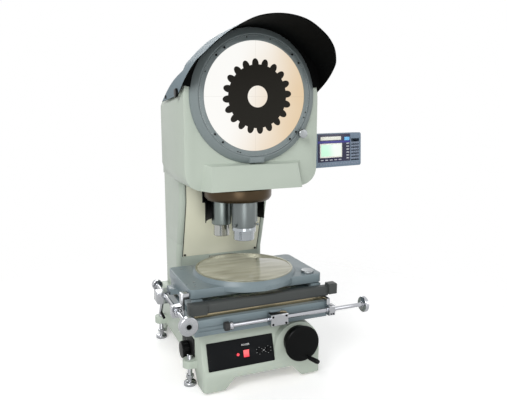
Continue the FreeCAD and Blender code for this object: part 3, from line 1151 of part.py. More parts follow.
def screen_glass():
    return facing_bar(SCREEN_RADIUS + SCREEN_OVERLAP - SEAT_FIT, SCREEN, RING_FACE_Y + 5, RING_FACE_Y + 5 + GLASS_THICKNESS)


def screen_clips():
    """Short leaves that hold charts, each under two screws."""
    clips = []
    radius = SCREEN_RADIUS + 9
    for angle in CLIP_ANGLES:
        half_turn = math.degrees(CLIP_LENGTH / 2 / radius)
        leaf = facing_bar(radius + 6, SCREEN, RING_FACE_Y - 1.2, RING_FACE_Y).cut(
            facing_bar(radius - 6, SCREEN, RING_FACE_Y - 2, RING_FACE_Y + 1))
        start = polar(400, angle - half_turn, 0, SCREEN_HEIGHT, RING_FACE_Y - 2)
        end = polar(400, angle + half_turn, 0, SCREEN_HEIGHT, RING_FACE_Y - 2)
        wedge = prism([V(0, RING_FACE_Y - 2, SCREEN_HEIGHT), start, end], V(0, 4, 0))
        leaf = leaf.common(wedge)
        for turn in (-5.5, 5.5):
            spot = polar(radius, angle + turn, 0, SCREEN_HEIGHT, 0)
            leaf = leaf.fuse(facing_bar(3.6, spot, RING_FACE_Y - 3.4, RING_FACE_Y - 1))
        clips.append(leaf)
    return group(clips)


def ring_retainer():
    """Keeper behind the turning ring, screwed to the fixed ring."""
    rear = RING_FACE_Y + SCALE_RING_DEPTH
    return turned([(SCALE_RING_RADIUS - 8, BODY_GAP), (HEAD_OPENING_RADIUS, BODY_GAP),
                   (HEAD_OPENING_RADIUS, 4), (SCALE_RING_RADIUS - 8, 4)],
                  V(0, max(rear, HEAD_FRONT_Y + 14), SCREEN_HEIGHT), Y_AXIS)


def ring_lock_knob():
    lock = polar(SCALE_RING_RADIUS + 11, -36.5, 0, SCREEN_HEIGHT, RING_FACE_Y - 1 - BODY_GAP)
    knob = turned([(0, -14), (4, -14), (4, 0), (9, 0), (9, 4), (15.5, 6), (15.5, 15), (13.5, 17), (0, 17)], lock, V(0, -1, 0))
    for turn in range(0, 360, 36):
        spot = polar(17, turn, lock.x, lock.z, 0)
        knob = knob.cut(facing_bar(2.5, spot, lock.y - 18, lock.y - 5))
    return knob


def turret_mount():
    plate = cylinder(TURRET_MOUNT_RADIUS, V(0, TURRET_Y, TURRET_TOP + BODY_GAP), V(0, TURRET_Y, HEAD_BOTTOM))
    pin = cylinder(TURRET_PIN_RADIUS, V(0, TURRET_Y, TURRET_BOTTOM - 8), V(0, TURRET_Y, HEAD_BOTTOM + HEAD_WALL))
    washer = cylinder(16.5, V(0, TURRET_Y, TURRET_BOTTOM - 6), V(0, TURRET_Y, TURRET_BOTTOM - BODY_GAP))
    body = fused([plate, pin, washer])
    return body.cut(cylinder(38, V(0, 0, TURRET_TOP - 5), V(0, 0, HEAD_BOTTOM + 1)))


def turret_skirt():
    """Black half-round light shield that hangs behind the objectives."""
    radius = TURRET_RADIUS + 3
    inner = SKIRT_RADIUS - SKIRT_SHEET
    upper = tube(radius + SKIRT_SHEET, radius, V(0, TURRET_Y, TURRET_BOTTOM - 10), V(0, TURRET_Y, HEAD_BOTTOM))
    floor_z = TURRET_BOTTOM - 10
    floor = tube(radius + SKIRT_SHEET, inner, V(0, TURRET_Y, floor_z - SKIRT_SHEET), V(0, TURRET_Y, floor_z))
    lower = tube(SKIRT_RADIUS, inner, V(0, TURRET_Y, SKIRT_BOTTOM), V(0, TURRET_Y, floor_z))
    rear_half = box(-200, TURRET_Y + 24, 400, 200, TURRET_Y + 200, 700)
    upper = upper.common(rear_half)
    floor = floor.common(rear_half)
    lower = lower.common(rear_half)
    return fused([upper, floor, lower])


def turret_disc():
    disc = turned([(0, TURRET_BOTTOM), (TURRET_RADIUS - 8, TURRET_BOTTOM), (TURRET_RADIUS - 2, TURRET_BOTTOM + 8),
                   (TURRET_RADIUS, TURRET_BOTTOM + 14), (TURRET_RADIUS, TURRET_TOP - 3), (TURRET_RADIUS - 3, TURRET_TOP),
                   (0, TURRET_TOP)], TURRET_AXIS, Z_AXIS)
    disc = disc.cut(cylinder(TURRET_PIN_RADIUS + RUNNING_FIT, V(0, TURRET_Y, 500), V(0, TURRET_Y, 700)))
    for index in range(3):
        spot = objective_axis(index)
        disc = disc.cut(cylinder(OBJECTIVE_THREAD + SEAT_FIT, V(spot.x, spot.y, 500), V(spot.x, spot.y, 700)))
    return disc


def objective_axis(index):
    turn = math.radians(-90 + 120 * index)
    return V(TURRET_Y * math.cos(turn), TURRET_Y + TURRET_Y * math.sin(turn), 0)


def objective_barrel(index, sleeve, nose, shoulder, bottom):
    bore = OBJECTIVE_THREAD - OBJECTIVE_WALL
    top = TURRET_TOP - 4
    seat = TURRET_BOTTOM
    profile = [(bore, top), (OBJECTIVE_THREAD, top), (OBJECTIVE_THREAD, seat), (sleeve - 2, seat), (sleeve, seat - 2),
               (sleeve, shoulder + 2), (sleeve - 2, shoulder), (nose, shoulder), (nose, bottom + 2), (nose - 2, bottom),
               (bore, bottom)]
    return turned(profile, objective_axis(index), Z_AXIS)


def objective_flange():
    """The bright ring round the nose of the objective in use."""
    outer = FRONT_SLEEVE_RADIUS - 1
    inner = FRONT_NOSE_RADIUS - 1
    return turned([(inner, 500), (outer, 500), (outer, 506), (outer - 2, FRONT_SHOULDER), (inner, FRONT_SHOULDER)],
                  objective_axis(0), Z_AXIS)


def objective_front():
    barrel = objective_barrel(0, FRONT_SLEEVE_RADIUS, FRONT_NOSE_RADIUS, FRONT_SHOULDER, OBJECTIVE_BOTTOM)
    return fused([barrel, objective_flange()] + objective_screws())


def objective_side(index):
    return objective_barrel(index, SIDE_SLEEVE_RADIUS, SIDE_NOSE_RADIUS, SIDE_SHOULDER, OBJECTIVE_BOTTOM)


def objective_lenses():
    lenses = []
    radius = OBJECTIVE_THREAD - OBJECTIVE_WALL - SEAT_FIT
    for index in range(3):
        spot = objective_axis(index)
        for z in (OBJECTIVE_BOTTOM + 4, SIDE_SHOULDER + 20):
            lenses.append(turned([(0, 0), (radius - 2, 1.2), (radius, 2), (radius, 4), (radius - 2, LENS_THICKNESS - 1.2),
                                  (0, LENS_THICKNESS)], V(spot.x, spot.y, z), Z_AXIS))
    return group(lenses)


def objective_screws():
    """Small thumb screws round the sleeve of the objective in use."""
    screws = []
    for turn in (-150, -30, 90):
        direction = V(math.cos(math.radians(turn)), math.sin(math.radians(turn)), 0)
        start = V(0, 0, 522) + direction * (FRONT_SLEEVE_RADIUS - 1)
        screws.append(turned([(0, 0), (2, 0), (2, 4), (4.5, 4), (4.5, 10), (3.5, 11), (0, 11)], start, direction))
    return screws


def mirror(centre, width, length, turn):
    """A front-silvered mirror with its steel backing plate, turned about X."""
    glass = box(-width / 2, -length / 2, -MIRROR_THICKNESS, width / 2, length / 2, 0)
    glass.rotate(V(0, 0, 0), X_AXIS, turn)
    glass.translate(centre)
    return glass


def mirror_frame(centre, width, length, turn, reach, strut_at):
    """The backing plate and the struts that hold it to the side walls."""
    plate = box(-width / 2 - 6, -length / 2 - 6, -MIRROR_THICKNESS - MIRROR_BACKING, width / 2 + 6, length / 2 + 6,
                -MIRROR_THICKNESS)
    strut = box(-reach, strut_at - 12, -MIRROR_THICKNESS - MIRROR_BACKING, reach, strut_at + 12, -MIRROR_THICKNESS)
    frame = fused([plate, strut])
    frame.rotate(V(0, 0, 0), X_AXIS, turn)
    frame.translate(centre)
    return frame


def mirror_poses():
    inner = COLUMN_HALF_WIDTH - HEAD_WALL
    wide = HEAD_HALF_WIDTH - HEAD_WALL
    return ((V(0, 0, LOWER_MIRROR_Z), 90, 120, -135, wide, 0),
            (V(0, REAR_MIRROR_Y, LOWER_MIRROR_Z), 190, 150, 45, inner, 0),
            (V(0, REAR_MIRROR_Y, SCREEN_HEIGHT), 200, 180, 135, inner, -60))


def condenser():
    """The field lens in the base top and its bright retaining ring."""
    radius = CONDENSER_RADIUS
    return turned([(0, BASE_TOP - 9), (radius - 6, BASE_TOP - 6), (radius - 6, BASE_TOP - 4), (0, BASE_TOP + 1)],
                  V(0, 0, 0), Z_AXIS)


def condenser_ring():
    radius = CONDENSER_RADIUS
    return turned([(radius - 6 + SEAT_FIT, BASE_TOP - BASE_WALL), (radius, BASE_TOP - BASE_WALL), (radius, BASE_TOP),
                   (radius + 5, BASE_TOP), (radius + 5, BASE_TOP + 2.5), (radius - 6 + SEAT_FIT, BASE_TOP + 2.5)],
                  V(0, 0, 0), Z_AXIS)


def base_mirror():
    half = BASE_MIRROR_HALF
    glass = box(-half + 10, -half, -8, half - 10, half, 0)
    glass.rotate(V(0, 0, 0), X_AXIS, -45)
    glass.translate(V(0, 0, BEAM_Z))
    return glass


def lamp_tray():
    """Sheet bracket that carries the lamp, its lens tube and the mirror."""
    floor = box(-70, -90, 56, 70, 410, 60)
    high = BASE_MIRROR_HALF * math.sqrt(0.5)
    back = 8 * math.sqrt(0.5)
    front = -high - back
    top = BEAM_Z + high - back
    wedge = prism([V(-40, front, 60), V(-40, front + top - 60, 60), V(-40, front, top)], V(80, 0, 0))
    lip = box(-70, 406, 56, 70, BASE_REAR - BASE_WALL, 160)
    return fused([floor, lip, wedge])


def lamp_house():
    body = tube(46, 42, V(0, 250, BEAM_Z), V(0, 400, BEAM_Z))
    back = cylinder(46, V(0, 396, BEAM_Z), V(0, 400, BEAM_Z))
    foot = box(-20, 260, 60, 20, 390, BEAM_Z - 42)
    return fused([body, back, foot.cut(cylinder(44, V(0, 240, BEAM_Z), V(0, 410, BEAM_Z)))])


def lamp_lens():
    return turned([(0, 0), (42 - SEAT_FIT, 4), (42 - SEAT_FIT, 7), (0, 14)], V(0, 256, BEAM_Z), Y_AXIS)


def lamp_bulb():
    return turned([(0, 0), (6, 0), (6, 14), (10, 20), (10, 30), (6, 38), (0, 40)], V(0, 396, BEAM_Z), V(0, -1, 0))


def mains_inlet():
    x, z = INLET_X, INLET_Z
    w, h = INLET_WIDTH / 2, INLET_HEIGHT / 2
    body = box(x - w + SEAT_FIT, BASE_REAR - 22, z - h + SEAT_FIT, x + w - SEAT_FIT, BASE_REAR, z + h - SEAT_FIT)
    flange = box(x - w - 10, BASE_REAR, z - h - 4, x + w + 10, BASE_REAR + 3, z + h + 4)
    well = box(x - w + 4, BASE_REAR - 16, z - h + 4, x + w - 4, BASE_REAR + 4, z + h - 4)
    pins = [box(x + dx - 1, BASE_REAR - 16, z + dz - 2.5, x + dx + 1, BASE_REAR - 1, z + dz + 2.5)
            for dx, dz in ((-7, -2), (0, 2), (7, -2))]
    return fused([body, flange]).cut(well).fuse(pins[0]).fuse(pins[1]).fuse(pins[2])


def readout_placed(shape):
    """Puts a piece drawn square to the readout at its yaw and tilt."""
    shape = shape.copy()
    turn = FreeCAD.Rotation(Z_AXIS, READOUT_YAW).multiply(FreeCAD.Rotation(X_AXIS, READOUT_TILT))
    shape.Placement = FreeCAD.Placement(V(READOUT_X, READOUT_Y, READOUT_Z), turn).multiply(shape.Placement)
    return shape


def readout_housing():
    w, h, d = READOUT_WIDTH / 2, READOUT_HEIGHT / 2, READOUT_DEPTH
    body = box(-w, 0, -h, w, d, h)
    body = body.makeFillet(READOUT_EDGE, upright_edges(body, Y_AXIS))
    wall = READOUT_WALL
    hollow = box(-w + wall, 3, -h + wall, w - wall, d + 1, h - wall)
    hollow = hollow.makeFillet(READOUT_EDGE - wall, upright_edges(hollow, Y_AXIS))
    window = box(-w + 14, -1, -h + 20, w - 54, 4, h - 4)
    keys = box(w - 48, -1, -h + 20, w - 8, 4, h - 22)
    return readout_placed(body.cut(hollow).cut(window).cut(keys))


def readout_rear_cover():
    w, h, d = READOUT_WIDTH / 2 - READOUT_WALL - SEAT_FIT, READOUT_HEIGHT / 2 - READOUT_WALL - SEAT_FIT, READOUT_DEPTH
    plate = box(-w, d - 3, -h, w, d, h)
    plate = plate.makeFillet(READOUT_EDGE - READOUT_WALL, upright_edges(plate, Y_AXIS))
    lugs = []
    for x in (-24.0, 12.0):
        ear = box(x, d, -14, x + 12, d + 20, 14)
        lugs.append(ear.fuse(cylinder(14, V(x, d + 20, 0), V(x + 12, d + 20, 0))))
    body = fused([plate] + lugs)
    return readout_placed(body.cut(cylinder(TILT_PIN_RADIUS + RUNNING_FIT, V(-60, d + 20, 0), V(60, d + 20, 0))))


def readout_bezel():
    w, h = READOUT_WIDTH / 2, READOUT_HEIGHT / 2
    plate = box(-w + 14 + SEAT_FIT, 0.5, -h + 20 + SEAT_FIT, w - 54 - SEAT_FIT, 5, h - 4 - SEAT_FIT)
    window = box(-w + 26, -1, -h + 36, w - 86, 6, h - 36)
    return readout_placed(plate.cut(window))


def readout_display():
    w, h = READOUT_WIDTH / 2, READOUT_HEIGHT / 2
    return readout_placed(box(-w + 26 + SEAT_FIT, 1.5, -h + 36 + SEAT_FIT, w - 86 - SEAT_FIT, 5, h - 36 - SEAT_FIT))


def readout_keypad():
    w, h = READOUT_WIDTH / 2, READOUT_HEIGHT / 2
    plate = box(w - 48 + SEAT_FIT, 1.0, -h + 20 + SEAT_FIT, w - 8 - SEAT_FIT, 5, h - 22 - SEAT_FIT)
    keys = []
    for row in range(6):
        for column in range(4):
            x = w - 46 + column * 9.2
            z = -h + 23 + row * 13.0
            keys.append(box(x, -0.6, z, x + 7.6, 1.0, z + 9.5))
    body = plate
    for key in keys:
        body = body.fuse(key)
    return readout_placed(body.removeSplitter())


def arm_bracket():
    x = HEAD_HALF_WIDTH
    y, z = ARM_PIVOT_Y, READOUT_Z
    plate = box(x, y - 30, z - 34, x + 8, y + 30, z + 34)
    plate = plate.makeFillet(6, upright_edges(plate, X_AXIS))
    pieces = [plate]
    for low in (z - 24, z + 12):
        ear = box(x + 8, y - 12, low, ARM_PIVOT_X, y + 12, low + 12)
        pieces.append(ear)
        pieces.append(cylinder(12, V(ARM_PIVOT_X, y, low), V(ARM_PIVOT_X, y, low + 12)))
    pin = cylinder(ARM_PIN_RADIUS, V(ARM_PIVOT_X, y, z - 28), V(ARM_PIVOT_X, y, z + 28))
    return fused(pieces + [pin])


def tilt_axis_point():
    """Where the readout's tilt pin crosses the readout's own middle."""
    turn = FreeCAD.Rotation(Z_AXIS, READOUT_YAW).multiply(FreeCAD.Rotation(X_AXIS, READOUT_TILT))
    return V(READOUT_X, READOUT_Y, READOUT_Z) + turn.multVec(V(0, READOUT_DEPTH + 20, 0))


def readout_arm():
    pivot = V(ARM_PIVOT_X, ARM_PIVOT_Y, READOUT_Z)
    knuckle = cylinder(12, pivot - V(0, 0, 12 - BODY_GAP), pivot + V(0, 0, 12 - BODY_GAP))
    centre = tilt_axis_point()
    along = FreeCAD.Rotation(Z_AXIS, READOUT_YAW).multVec(X_AXIS)
    behind = FreeCAD.Rotation(Z_AXIS, READOUT_YAW).multVec(Y_AXIS)
    elbow = centre + behind * 26
    bar = cylinder(ARM_RADIUS, V(pivot.x, pivot.y, centre.z), V(elbow.x, elbow.y, centre.z))
    hub = cylinder(11, centre - along * (12 - BODY_GAP), centre + along * (12 - BODY_GAP))
    neck = box(-9, 0, -10, 9, 30, 10)
    neck.Placement = FreeCAD.Placement(centre, FreeCAD.Rotation(Z_AXIS, READOUT_YAW))
    pin = cylinder(TILT_PIN_RADIUS, centre - along * 28, centre + along * 28)
    body = fused([knuckle, bar, hub, neck, pin])
    return body.cut(cylinder(ARM_PIN_RADIUS + RUNNING_FIT, pivot - V(0, 0, 30), pivot + V(0, 0, 30)))


def lift_guide():
    return rail_prism(0.0, RAIL_BOTTOM, RAIL_TOP)


def mirrors():
    pieces = []
    for centre, width, length, turn, reach, strut in mirror_poses():
        pieces.append(mirror(centre, width, length, turn))
    return group(pieces)


def mirror_frames():
    room = head_form(HEAD_WALL)
    pieces = []
    for centre, width, length, turn, reach, strut in mirror_poses():
        pieces.append(mirror_frame(centre, width, length, turn, reach, strut).common(room))
    return group(pieces)


def readout_face():
    return group([readout_bezel(), readout_display(), readout_keypad()])


def x_encoder():
    return group([encoder_bar()] + encoder_caps())


def build_base():
    export("base_casting", base_casting())
    for name, x, y in (("front_left", -FOOT_X, FOOT_FRONT_Y), ("front_right", FOOT_X, FOOT_FRONT_Y),
                       ("rear_left", -FOOT_X, FOOT_REAR_Y), ("rear_right", FOOT_X, FOOT_REAR_Y)):
        export("levelling_foot_" + name, levelling_foot(x, y))
    export("control_panel", control_panel())
    export("power_rocker", power_rocker())
    export("panel_fittings", panel_fittings())
    export("side_plate", side_plate())
    export("side_knob", side_knob())
    export("mains_inlet", mains_inlet())
    export("condenser", group([condenser(), condenser_ring()]))
    export("lamp_unit", group([lamp_tray(), lamp_house(), lamp_lens(), lamp_bulb(), base_mirror()]))
    export("fixing_screws", group(panel_screws() + cover_screws() + hood_rear_screws()))


def build_lift():
    export("handwheel", handwheel())
    export("handwheel_grip", handwheel_grip())
    export("lift_screw", lift_screw())
    export("lift_guide", lift_guide())
    export("z_carriage", z_carriage())
    export("x_guideway", x_guideway())
    export("x_nut_block", x_nut_block())


def build_slides():
    export("x_slide", x_slide())
    export("x_encoder", x_encoder())
    export("x_bracket", x_bracket())
    export("x_rod", x_rod())
    export("y_nut_block", y_nut_block())
    export("y_bracket", y_bracket())
    export("y_rod", y_rod())
    export("stage_plate", stage_plate())
    export("stage_rim", stage_rim())
    export("stage_glass", cylinder(STAGE_GLASS_RADIUS, V(0, 0, STAGE_GLASS_TOP - 8), V(0, 0, STAGE_GLASS_TOP)))
    export("stage_fittings", group([stage_plug()] + stage_screws()))


def build_head():
    export("column_lower", column_lower())
    export("column_upper", column_upper())
    export("column_cover", column_cover())
    export("head_casting", head_casting())
    export("rear_cover", rear_cover())
    export("mirrors", mirrors())
    export("mirror_frames", mirror_frames())
    export("hood", hood())
    export("hood_knob_left", hood_knob(-1))
    export("hood_knob_right", hood_knob(1))
    export("fixed_ring", group([fixed_ring(), ring_retainer()]))
    export("vernier_plate", vernier_plate())
    export("scale_ring", scale_ring())
    export("screen_glass", screen_glass())
    export("screen_clips", screen_clips())
    export("ring_lock_knob", ring_lock_knob())


def build_optics():
    export("turret_mount", turret_mount())
    export("turret_skirt", turret_skirt())
    export("turret_disc", turret_disc())
    export("objective_front", objective_front())
    export("objective_right", objective_side(1))
    export("objective_left", objective_side(2))
    export("objective_lenses", objective_lenses())


def build_readout():
    export("arm_bracket", arm_bracket())
    export("readout_arm", readout_arm())
    export("readout_housing", readout_housing())
    export("readout_rear_cover", readout_rear_cover())
    export("readout_face", readout_face())


os.makedirs("parts", exist_ok=True)
build_base()
build_lift()
build_slides()
build_head()
build_optics()
build_readout()
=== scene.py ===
# %% [markdown]
# # A bench profile projector
# A lens under the head throws an enlarged shadow of the workpiece on a round ground-glass screen.
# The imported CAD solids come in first. Each one then gets soft edges and its own finish, and the
# small things that a solid doesn't carry, such as screws, graduations and keys, are added on top.

import json
import math

import bmesh
import bpy
from mathutils import Matrix, Vector

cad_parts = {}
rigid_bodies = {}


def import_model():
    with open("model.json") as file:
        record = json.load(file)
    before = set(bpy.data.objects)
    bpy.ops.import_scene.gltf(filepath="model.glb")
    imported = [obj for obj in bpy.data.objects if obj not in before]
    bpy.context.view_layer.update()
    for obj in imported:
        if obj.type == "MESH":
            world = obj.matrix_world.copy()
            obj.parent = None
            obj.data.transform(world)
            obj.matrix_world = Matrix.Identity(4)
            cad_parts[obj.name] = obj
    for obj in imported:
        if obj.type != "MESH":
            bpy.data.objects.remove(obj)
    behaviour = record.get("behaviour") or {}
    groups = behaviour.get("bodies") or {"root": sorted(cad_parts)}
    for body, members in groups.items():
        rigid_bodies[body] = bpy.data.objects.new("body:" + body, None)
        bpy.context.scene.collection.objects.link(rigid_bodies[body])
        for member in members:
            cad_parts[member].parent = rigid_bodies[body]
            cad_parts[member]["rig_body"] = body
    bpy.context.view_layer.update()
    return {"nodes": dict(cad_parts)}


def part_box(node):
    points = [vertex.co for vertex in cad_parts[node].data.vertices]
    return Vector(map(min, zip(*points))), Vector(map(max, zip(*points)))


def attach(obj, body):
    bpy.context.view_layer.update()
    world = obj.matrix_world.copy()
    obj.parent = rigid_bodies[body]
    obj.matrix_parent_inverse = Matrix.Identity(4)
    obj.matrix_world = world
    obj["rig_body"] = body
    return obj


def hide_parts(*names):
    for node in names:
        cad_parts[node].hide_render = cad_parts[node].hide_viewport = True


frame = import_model()
nodes = frame["nodes"]

# %% [markdown]
# ## Shader maths in plain Python
# A material is a graph of nodes. Writing `1 - mask` is easier to read than wiring a Math node by
# hand, so one small class wraps a socket and turns each operator into the node that does it.

# %% A socket that Python operators work on
class Signal:
    """A number that varies over a surface."""

    def __init__(self, finish, socket):
        self.finish = finish
        self.socket = socket

    def math(self, operation, *values):
        settings = {"operation": operation}
        return self.finish.node("ShaderNodeMath", settings, dict(enumerate(values)))

    def __add__(self, other):
        return self.math("ADD", self, other)

    def __sub__(self, other):
        return self.math("SUBTRACT", self, other)

    def __rsub__(self, other):
        return self.math("SUBTRACT", other, self)

    def __mul__(self, other):
        return self.math("MULTIPLY", self, other)

    def __pow__(self, other):
        return self.math("POWER", self, other)

    def unsigned(self):
        return self.math("ABSOLUTE", self)

    def or_more(self, other):
        """The larger of two values."""
        return self.math("MAXIMUM", self, other)

    def above(self, edge, soft):
        """0 below the edge and 1 above it, with a soft step."""
        limits = {"From Min": edge - soft, "From Max": edge + soft}
        settings = {"interpolation_type": "SMOOTHSTEP"}
        return self.finish.node("ShaderNodeMapRange", settings, {"Value": self, **limits})

    def below(self, edge, soft):
        return 1 - self.above(edge, soft)


print("operators ready:", [name for name in ("__add__", "__sub__", "__mul__") if hasattr(Signal, name)])

# %% A finish, which is one material and its helpers
class Finish:
    """A named material with one Principled shader; fixed values go straight on its sockets."""

    def __init__(self, name, colour, roughness, metallic=0.0, **fixed):
        self.material = bpy.data.materials.new(name)
        self.material.use_nodes = True
        self.tree = self.material.node_tree
        self.shader = self.tree.nodes["Principled BSDF"]
        values = {"Roughness": roughness, "Metallic": metallic, **fixed}
        self.shader.inputs["Base Color"].default_value = (*colour, 1.0)
        for socket, value in values.items():
            self.shader.inputs[socket].default_value = value
        self.coordinates = self.node("ShaderNodeTexCoord", {}, {}, "Object").socket

    def node(self, kind, settings, inputs, output=0):
        """Adds a node, sets it, fills its sockets with values or links, and returns one output."""
        made = self.tree.nodes.new(kind)
        for name, value in settings.items():
            setattr(made, name, value)
        for name, value in inputs.items():
            if isinstance(value, Signal):
                self.tree.links.new(value.socket, made.inputs[name])
            else:
                made.inputs[name].default_value = value
        return Signal(self, made.outputs[output])

    def axes(self):
        parts = self.tree.nodes.new("ShaderNodeSeparateXYZ")
        self.tree.links.new(self.coordinates, parts.inputs[0])
        return [Signal(self, parts.outputs[index]) for index in range(3)]

    def noise(self, scale, detail=3.0, stretch=(1, 1, 1)):
        scaled = {"Vector": Signal(self, self.coordinates), "Scale": stretch}
        mapped = self.node("ShaderNodeMapping", {}, scaled)
        return self.node("ShaderNodeTexNoise", {}, {"Vector": mapped, "Scale": scale, "Detail": detail})

    def mix(self, factor, first, second):
        """A colour between two colours or colour links."""
        made = self.tree.nodes.new("ShaderNodeMix")
        made.data_type = "RGBA"
        for index, value in ((0, factor), (6, first), (7, second)):
            if isinstance(value, Signal):
                self.tree.links.new(value.socket, made.inputs[index])
            else:
                made.inputs[index].default_value = value
        return Signal(self, made.outputs[2])

    def feed(self, socket, signal):
        self.tree.links.new(signal.socket, self.shader.inputs[socket])

    def bump(self, height, depth, strength=1.0):
        made = self.node("ShaderNodeBump", {}, {"Height": height, "Distance": depth, "Strength": strength})
        self.feed("Normal", made)


def linear(red, green, blue):
    """A colour given as 0 to 255, in the linear numbers that a shader takes."""
    out = []
    for value in (red, green, blue):
        share = value / 255
        out.append(share / 12.92 if share < 0.04045 else ((share + 0.055) / 1.055) ** 2.4)
    return tuple(out)


def full(colour):
    return (*colour, 1.0)


print("pale grey-green is", [round(v, 3) for v in linear(192, 203, 192)])

# %% [markdown]
# ## Enamel on castings
# Castings are filled, sprayed and stoved. The enamel has a faint orange-peel skin, slightly uneven
# tone where the filler lies thicker, and a soft sheen. Low noise drives the tone and fine noise the
# skin, so the surface is alive without looking dirty.

# %% Painted metal finishes
def enamel(name, colour, roughness=0.36, uneven=0.06, peel=0.00009, gloss=0.35):
    finish = Finish(name, colour, roughness, **{"Specular IOR Level": gloss})
    patches = finish.noise(7.0, 4.0)
    darker = tuple(max(0.0, value * (1 - uneven)) for value in colour)
    lighter = tuple(value * (1 + uneven * 0.5) for value in colour)
    finish.feed("Base Color", finish.mix(patches, full(darker), full(lighter)))
    finish.feed("Roughness", finish.noise(31.0, 2.0) * 0.12 + (roughness - 0.06))
    finish.bump(finish.noise(520.0, 2.0), peel)
    return finish.material


BLACK_GLOSS = 0.10
casting_enamel = enamel("casting enamel", linear(181, 191, 179))
# The column cover's enamel is off-white, and it is made paler and warmer than the castings' to stand in
# for warm lamp light under the head: partly its own colour, partly painted light.
cover_enamel_painted_warm_light = enamel("column cover enamel", linear(228, 228, 206))
hood_outside = enamel("hood outside", linear(128, 142, 149), 0.5, peel=0.00003, gloss=0.02)
hood_inside = enamel("hood inside", linear(6, 7, 7), 0.7, 0.2, 0.0001, 0.05)
slide_enamel = enamel("slide enamel", linear(120, 134, 139), 0.30)
ring_enamel = enamel("screen ring enamel", linear(124, 134, 135), 0.38)
case_enamel = enamel("readout case", linear(116, 133, 150), 0.45)
encoder_enamel = enamel("encoder enamel", linear(70, 73, 72), 0.36, 0.15, 0.00004, 0.2)
black_enamel = enamel("black crackle", linear(20, 21, 22), 0.42, 0.3, 0.0002, BLACK_GLOSS)
panel_enamel = enamel("panel black", linear(15, 17, 19), 0.32, 0.15, 0.00004, BLACK_GLOSS)
print("enamels made:", len(bpy.data.materials))

# %% [markdown]
# ## Bare metal
# Chrome is smooth with a few wiped streaks, ground steel keeps fine lines along the way it was
# ground, and the anodised dark bronze of the turret takes warm reflections from the lamp.

# %% Bare metal finishes
def bare_metal(name, colour, roughness, stretch, depth=0.00002, uneven=0.1):
    finish = Finish(name, colour, roughness, 1.0)
    streaks = finish.noise(60.0, 3.0, stretch)
    darker = tuple(value * (1 - uneven) for value in colour)
    finish.feed("Base Color", finish.mix(streaks, full(darker), full(colour)))
    finish.feed("Roughness", streaks * 0.16 + (roughness - 0.08))
    finish.bump(streaks, depth)
    return finish.material


chrome = bare_metal("chrome plate", (0.47, 0.48, 0.50), 0.13, (1, 1, 1))
rim_metal = bare_metal("rim metal", (0.33, 0.33, 0.26), 0.30, (1, 1, 1))
satin_silver = bare_metal("satin silver", (0.36, 0.38, 0.39), 0.34, (1, 1, 30), 0.00001)
ground_steel = bare_metal("ground steel", (0.50, 0.50, 0.50), 0.30, (1, 40, 40))
oiled_way = bare_metal("oiled guideway", (0.36, 0.30, 0.19), 0.22, (1, 50, 50))
dark_bronze = bare_metal("dark bronze", (0.072, 0.051, 0.031), 0.32, (1, 1, 6))
plain_sheet = bare_metal("plain sheet", (0.40, 0.41, 0.43), 0.42, (1, 8, 1))
print("metals made, materials now", len(bpy.data.materials))

# %% Moulded plastics and glass
def plastic(name, colour, roughness, grain=0.00006, gloss=0.4):
    finish = Finish(name, colour, roughness, **{"Specular IOR Level": gloss})
    finish.feed("Roughness", finish.noise(45.0, 2.0) * 0.14 + (roughness - 0.07))
    finish.bump(finish.noise(900.0, 2.0), grain)
    return finish.material


black_plastic = plastic("moulded black", linear(13, 14, 14), 0.30, gloss=BLACK_GLOSS)
white_paint = plastic("white legend", linear(232, 234, 232), 0.5)
shadow_black = plastic("recess black", linear(5, 5, 5), 0.6, gloss=0.02)
mirror_silver = bare_metal("front silvering", (0.86, 0.87, 0.88), 0.09, (1, 1, 1), 0.0, 0.02)


GLASS_IOR = 1.46


def clear_glass(name, tint, roughness=0.02):
    finish = Finish(name, tint, roughness, 0.0, **{"Transmission Weight": 1.0, "IOR": GLASS_IOR})
    finish.feed("Roughness", finish.noise(9.0, 2.0) * 0.02 + roughness)
    return finish.material


# The stage glass's warm pale tone and its pale and dark streaks are painted light: lamp light from below
# and painted reflections on clear glass.
PLATE_PAINTED_LIGHT_TONE = (0.50, 0.50, 0.38)
PLATE_PAINTED_DARK_REFLECTION = (0.30, 0.29, 0.20)
PLATE_PAINTED_PALE_REFLECTION = (0.84, 0.82, 0.66)
PLATE_CLEARNESS = 0.22


def plate_glass_with_painted_light():
    """The stage glass: partly clear, its warm pale tone and pale and dark streaks painted lamp light and
    painted reflections.
    """
    clear = {"Transmission Weight": PLATE_CLEARNESS, "IOR": GLASS_IOR}
    finish = Finish("stage plate glass", PLATE_PAINTED_LIGHT_TONE, 0.07, **clear)
    streaks = finish.noise(9.0, 2.0, (1.0, 5.0, 1.0))
    finish.feed("Base Color", finish.mix(streaks, full(PLATE_PAINTED_DARK_REFLECTION), full(PLATE_PAINTED_PALE_REFLECTION)))
    finish.feed("Roughness", streaks * 0.05 + 0.012)
    return finish.material


stage_glass = plate_glass_with_painted_light()
lens_glass = clear_glass("coated lens glass", (0.80, 0.90, 0.95))


LENS_RADIUS = 0.0489
LENS_EDGE_SOFT = 0.00002
LAMP_COLOUR = (1.0, 0.90, 0.66)
LAMP_STRENGTH = 7.0


def lamp_lens():
    """The base lens: lit from below inside its bright ring."""
    finish = Finish("lit base lens", (0.6, 0.6, 0.6), 0.15, 1.0)
    x, y = finish.axes()[:2]
    inside = (x * x + y * y).below(LENS_RADIUS ** 2, LENS_EDGE_SOFT)
    finish.feed("Metallic", 1 - inside)
    finish.feed("Emission Color", finish.mix(inside, full((0, 0, 0)), full(LAMP_COLOUR)))
    finish.shader.inputs["Emission Strength"].default_value = LAMP_STRENGTH
    return finish.material


lit_lens = lamp_lens()
print("glass and plastics made, materials now", len(bpy.data.materials))

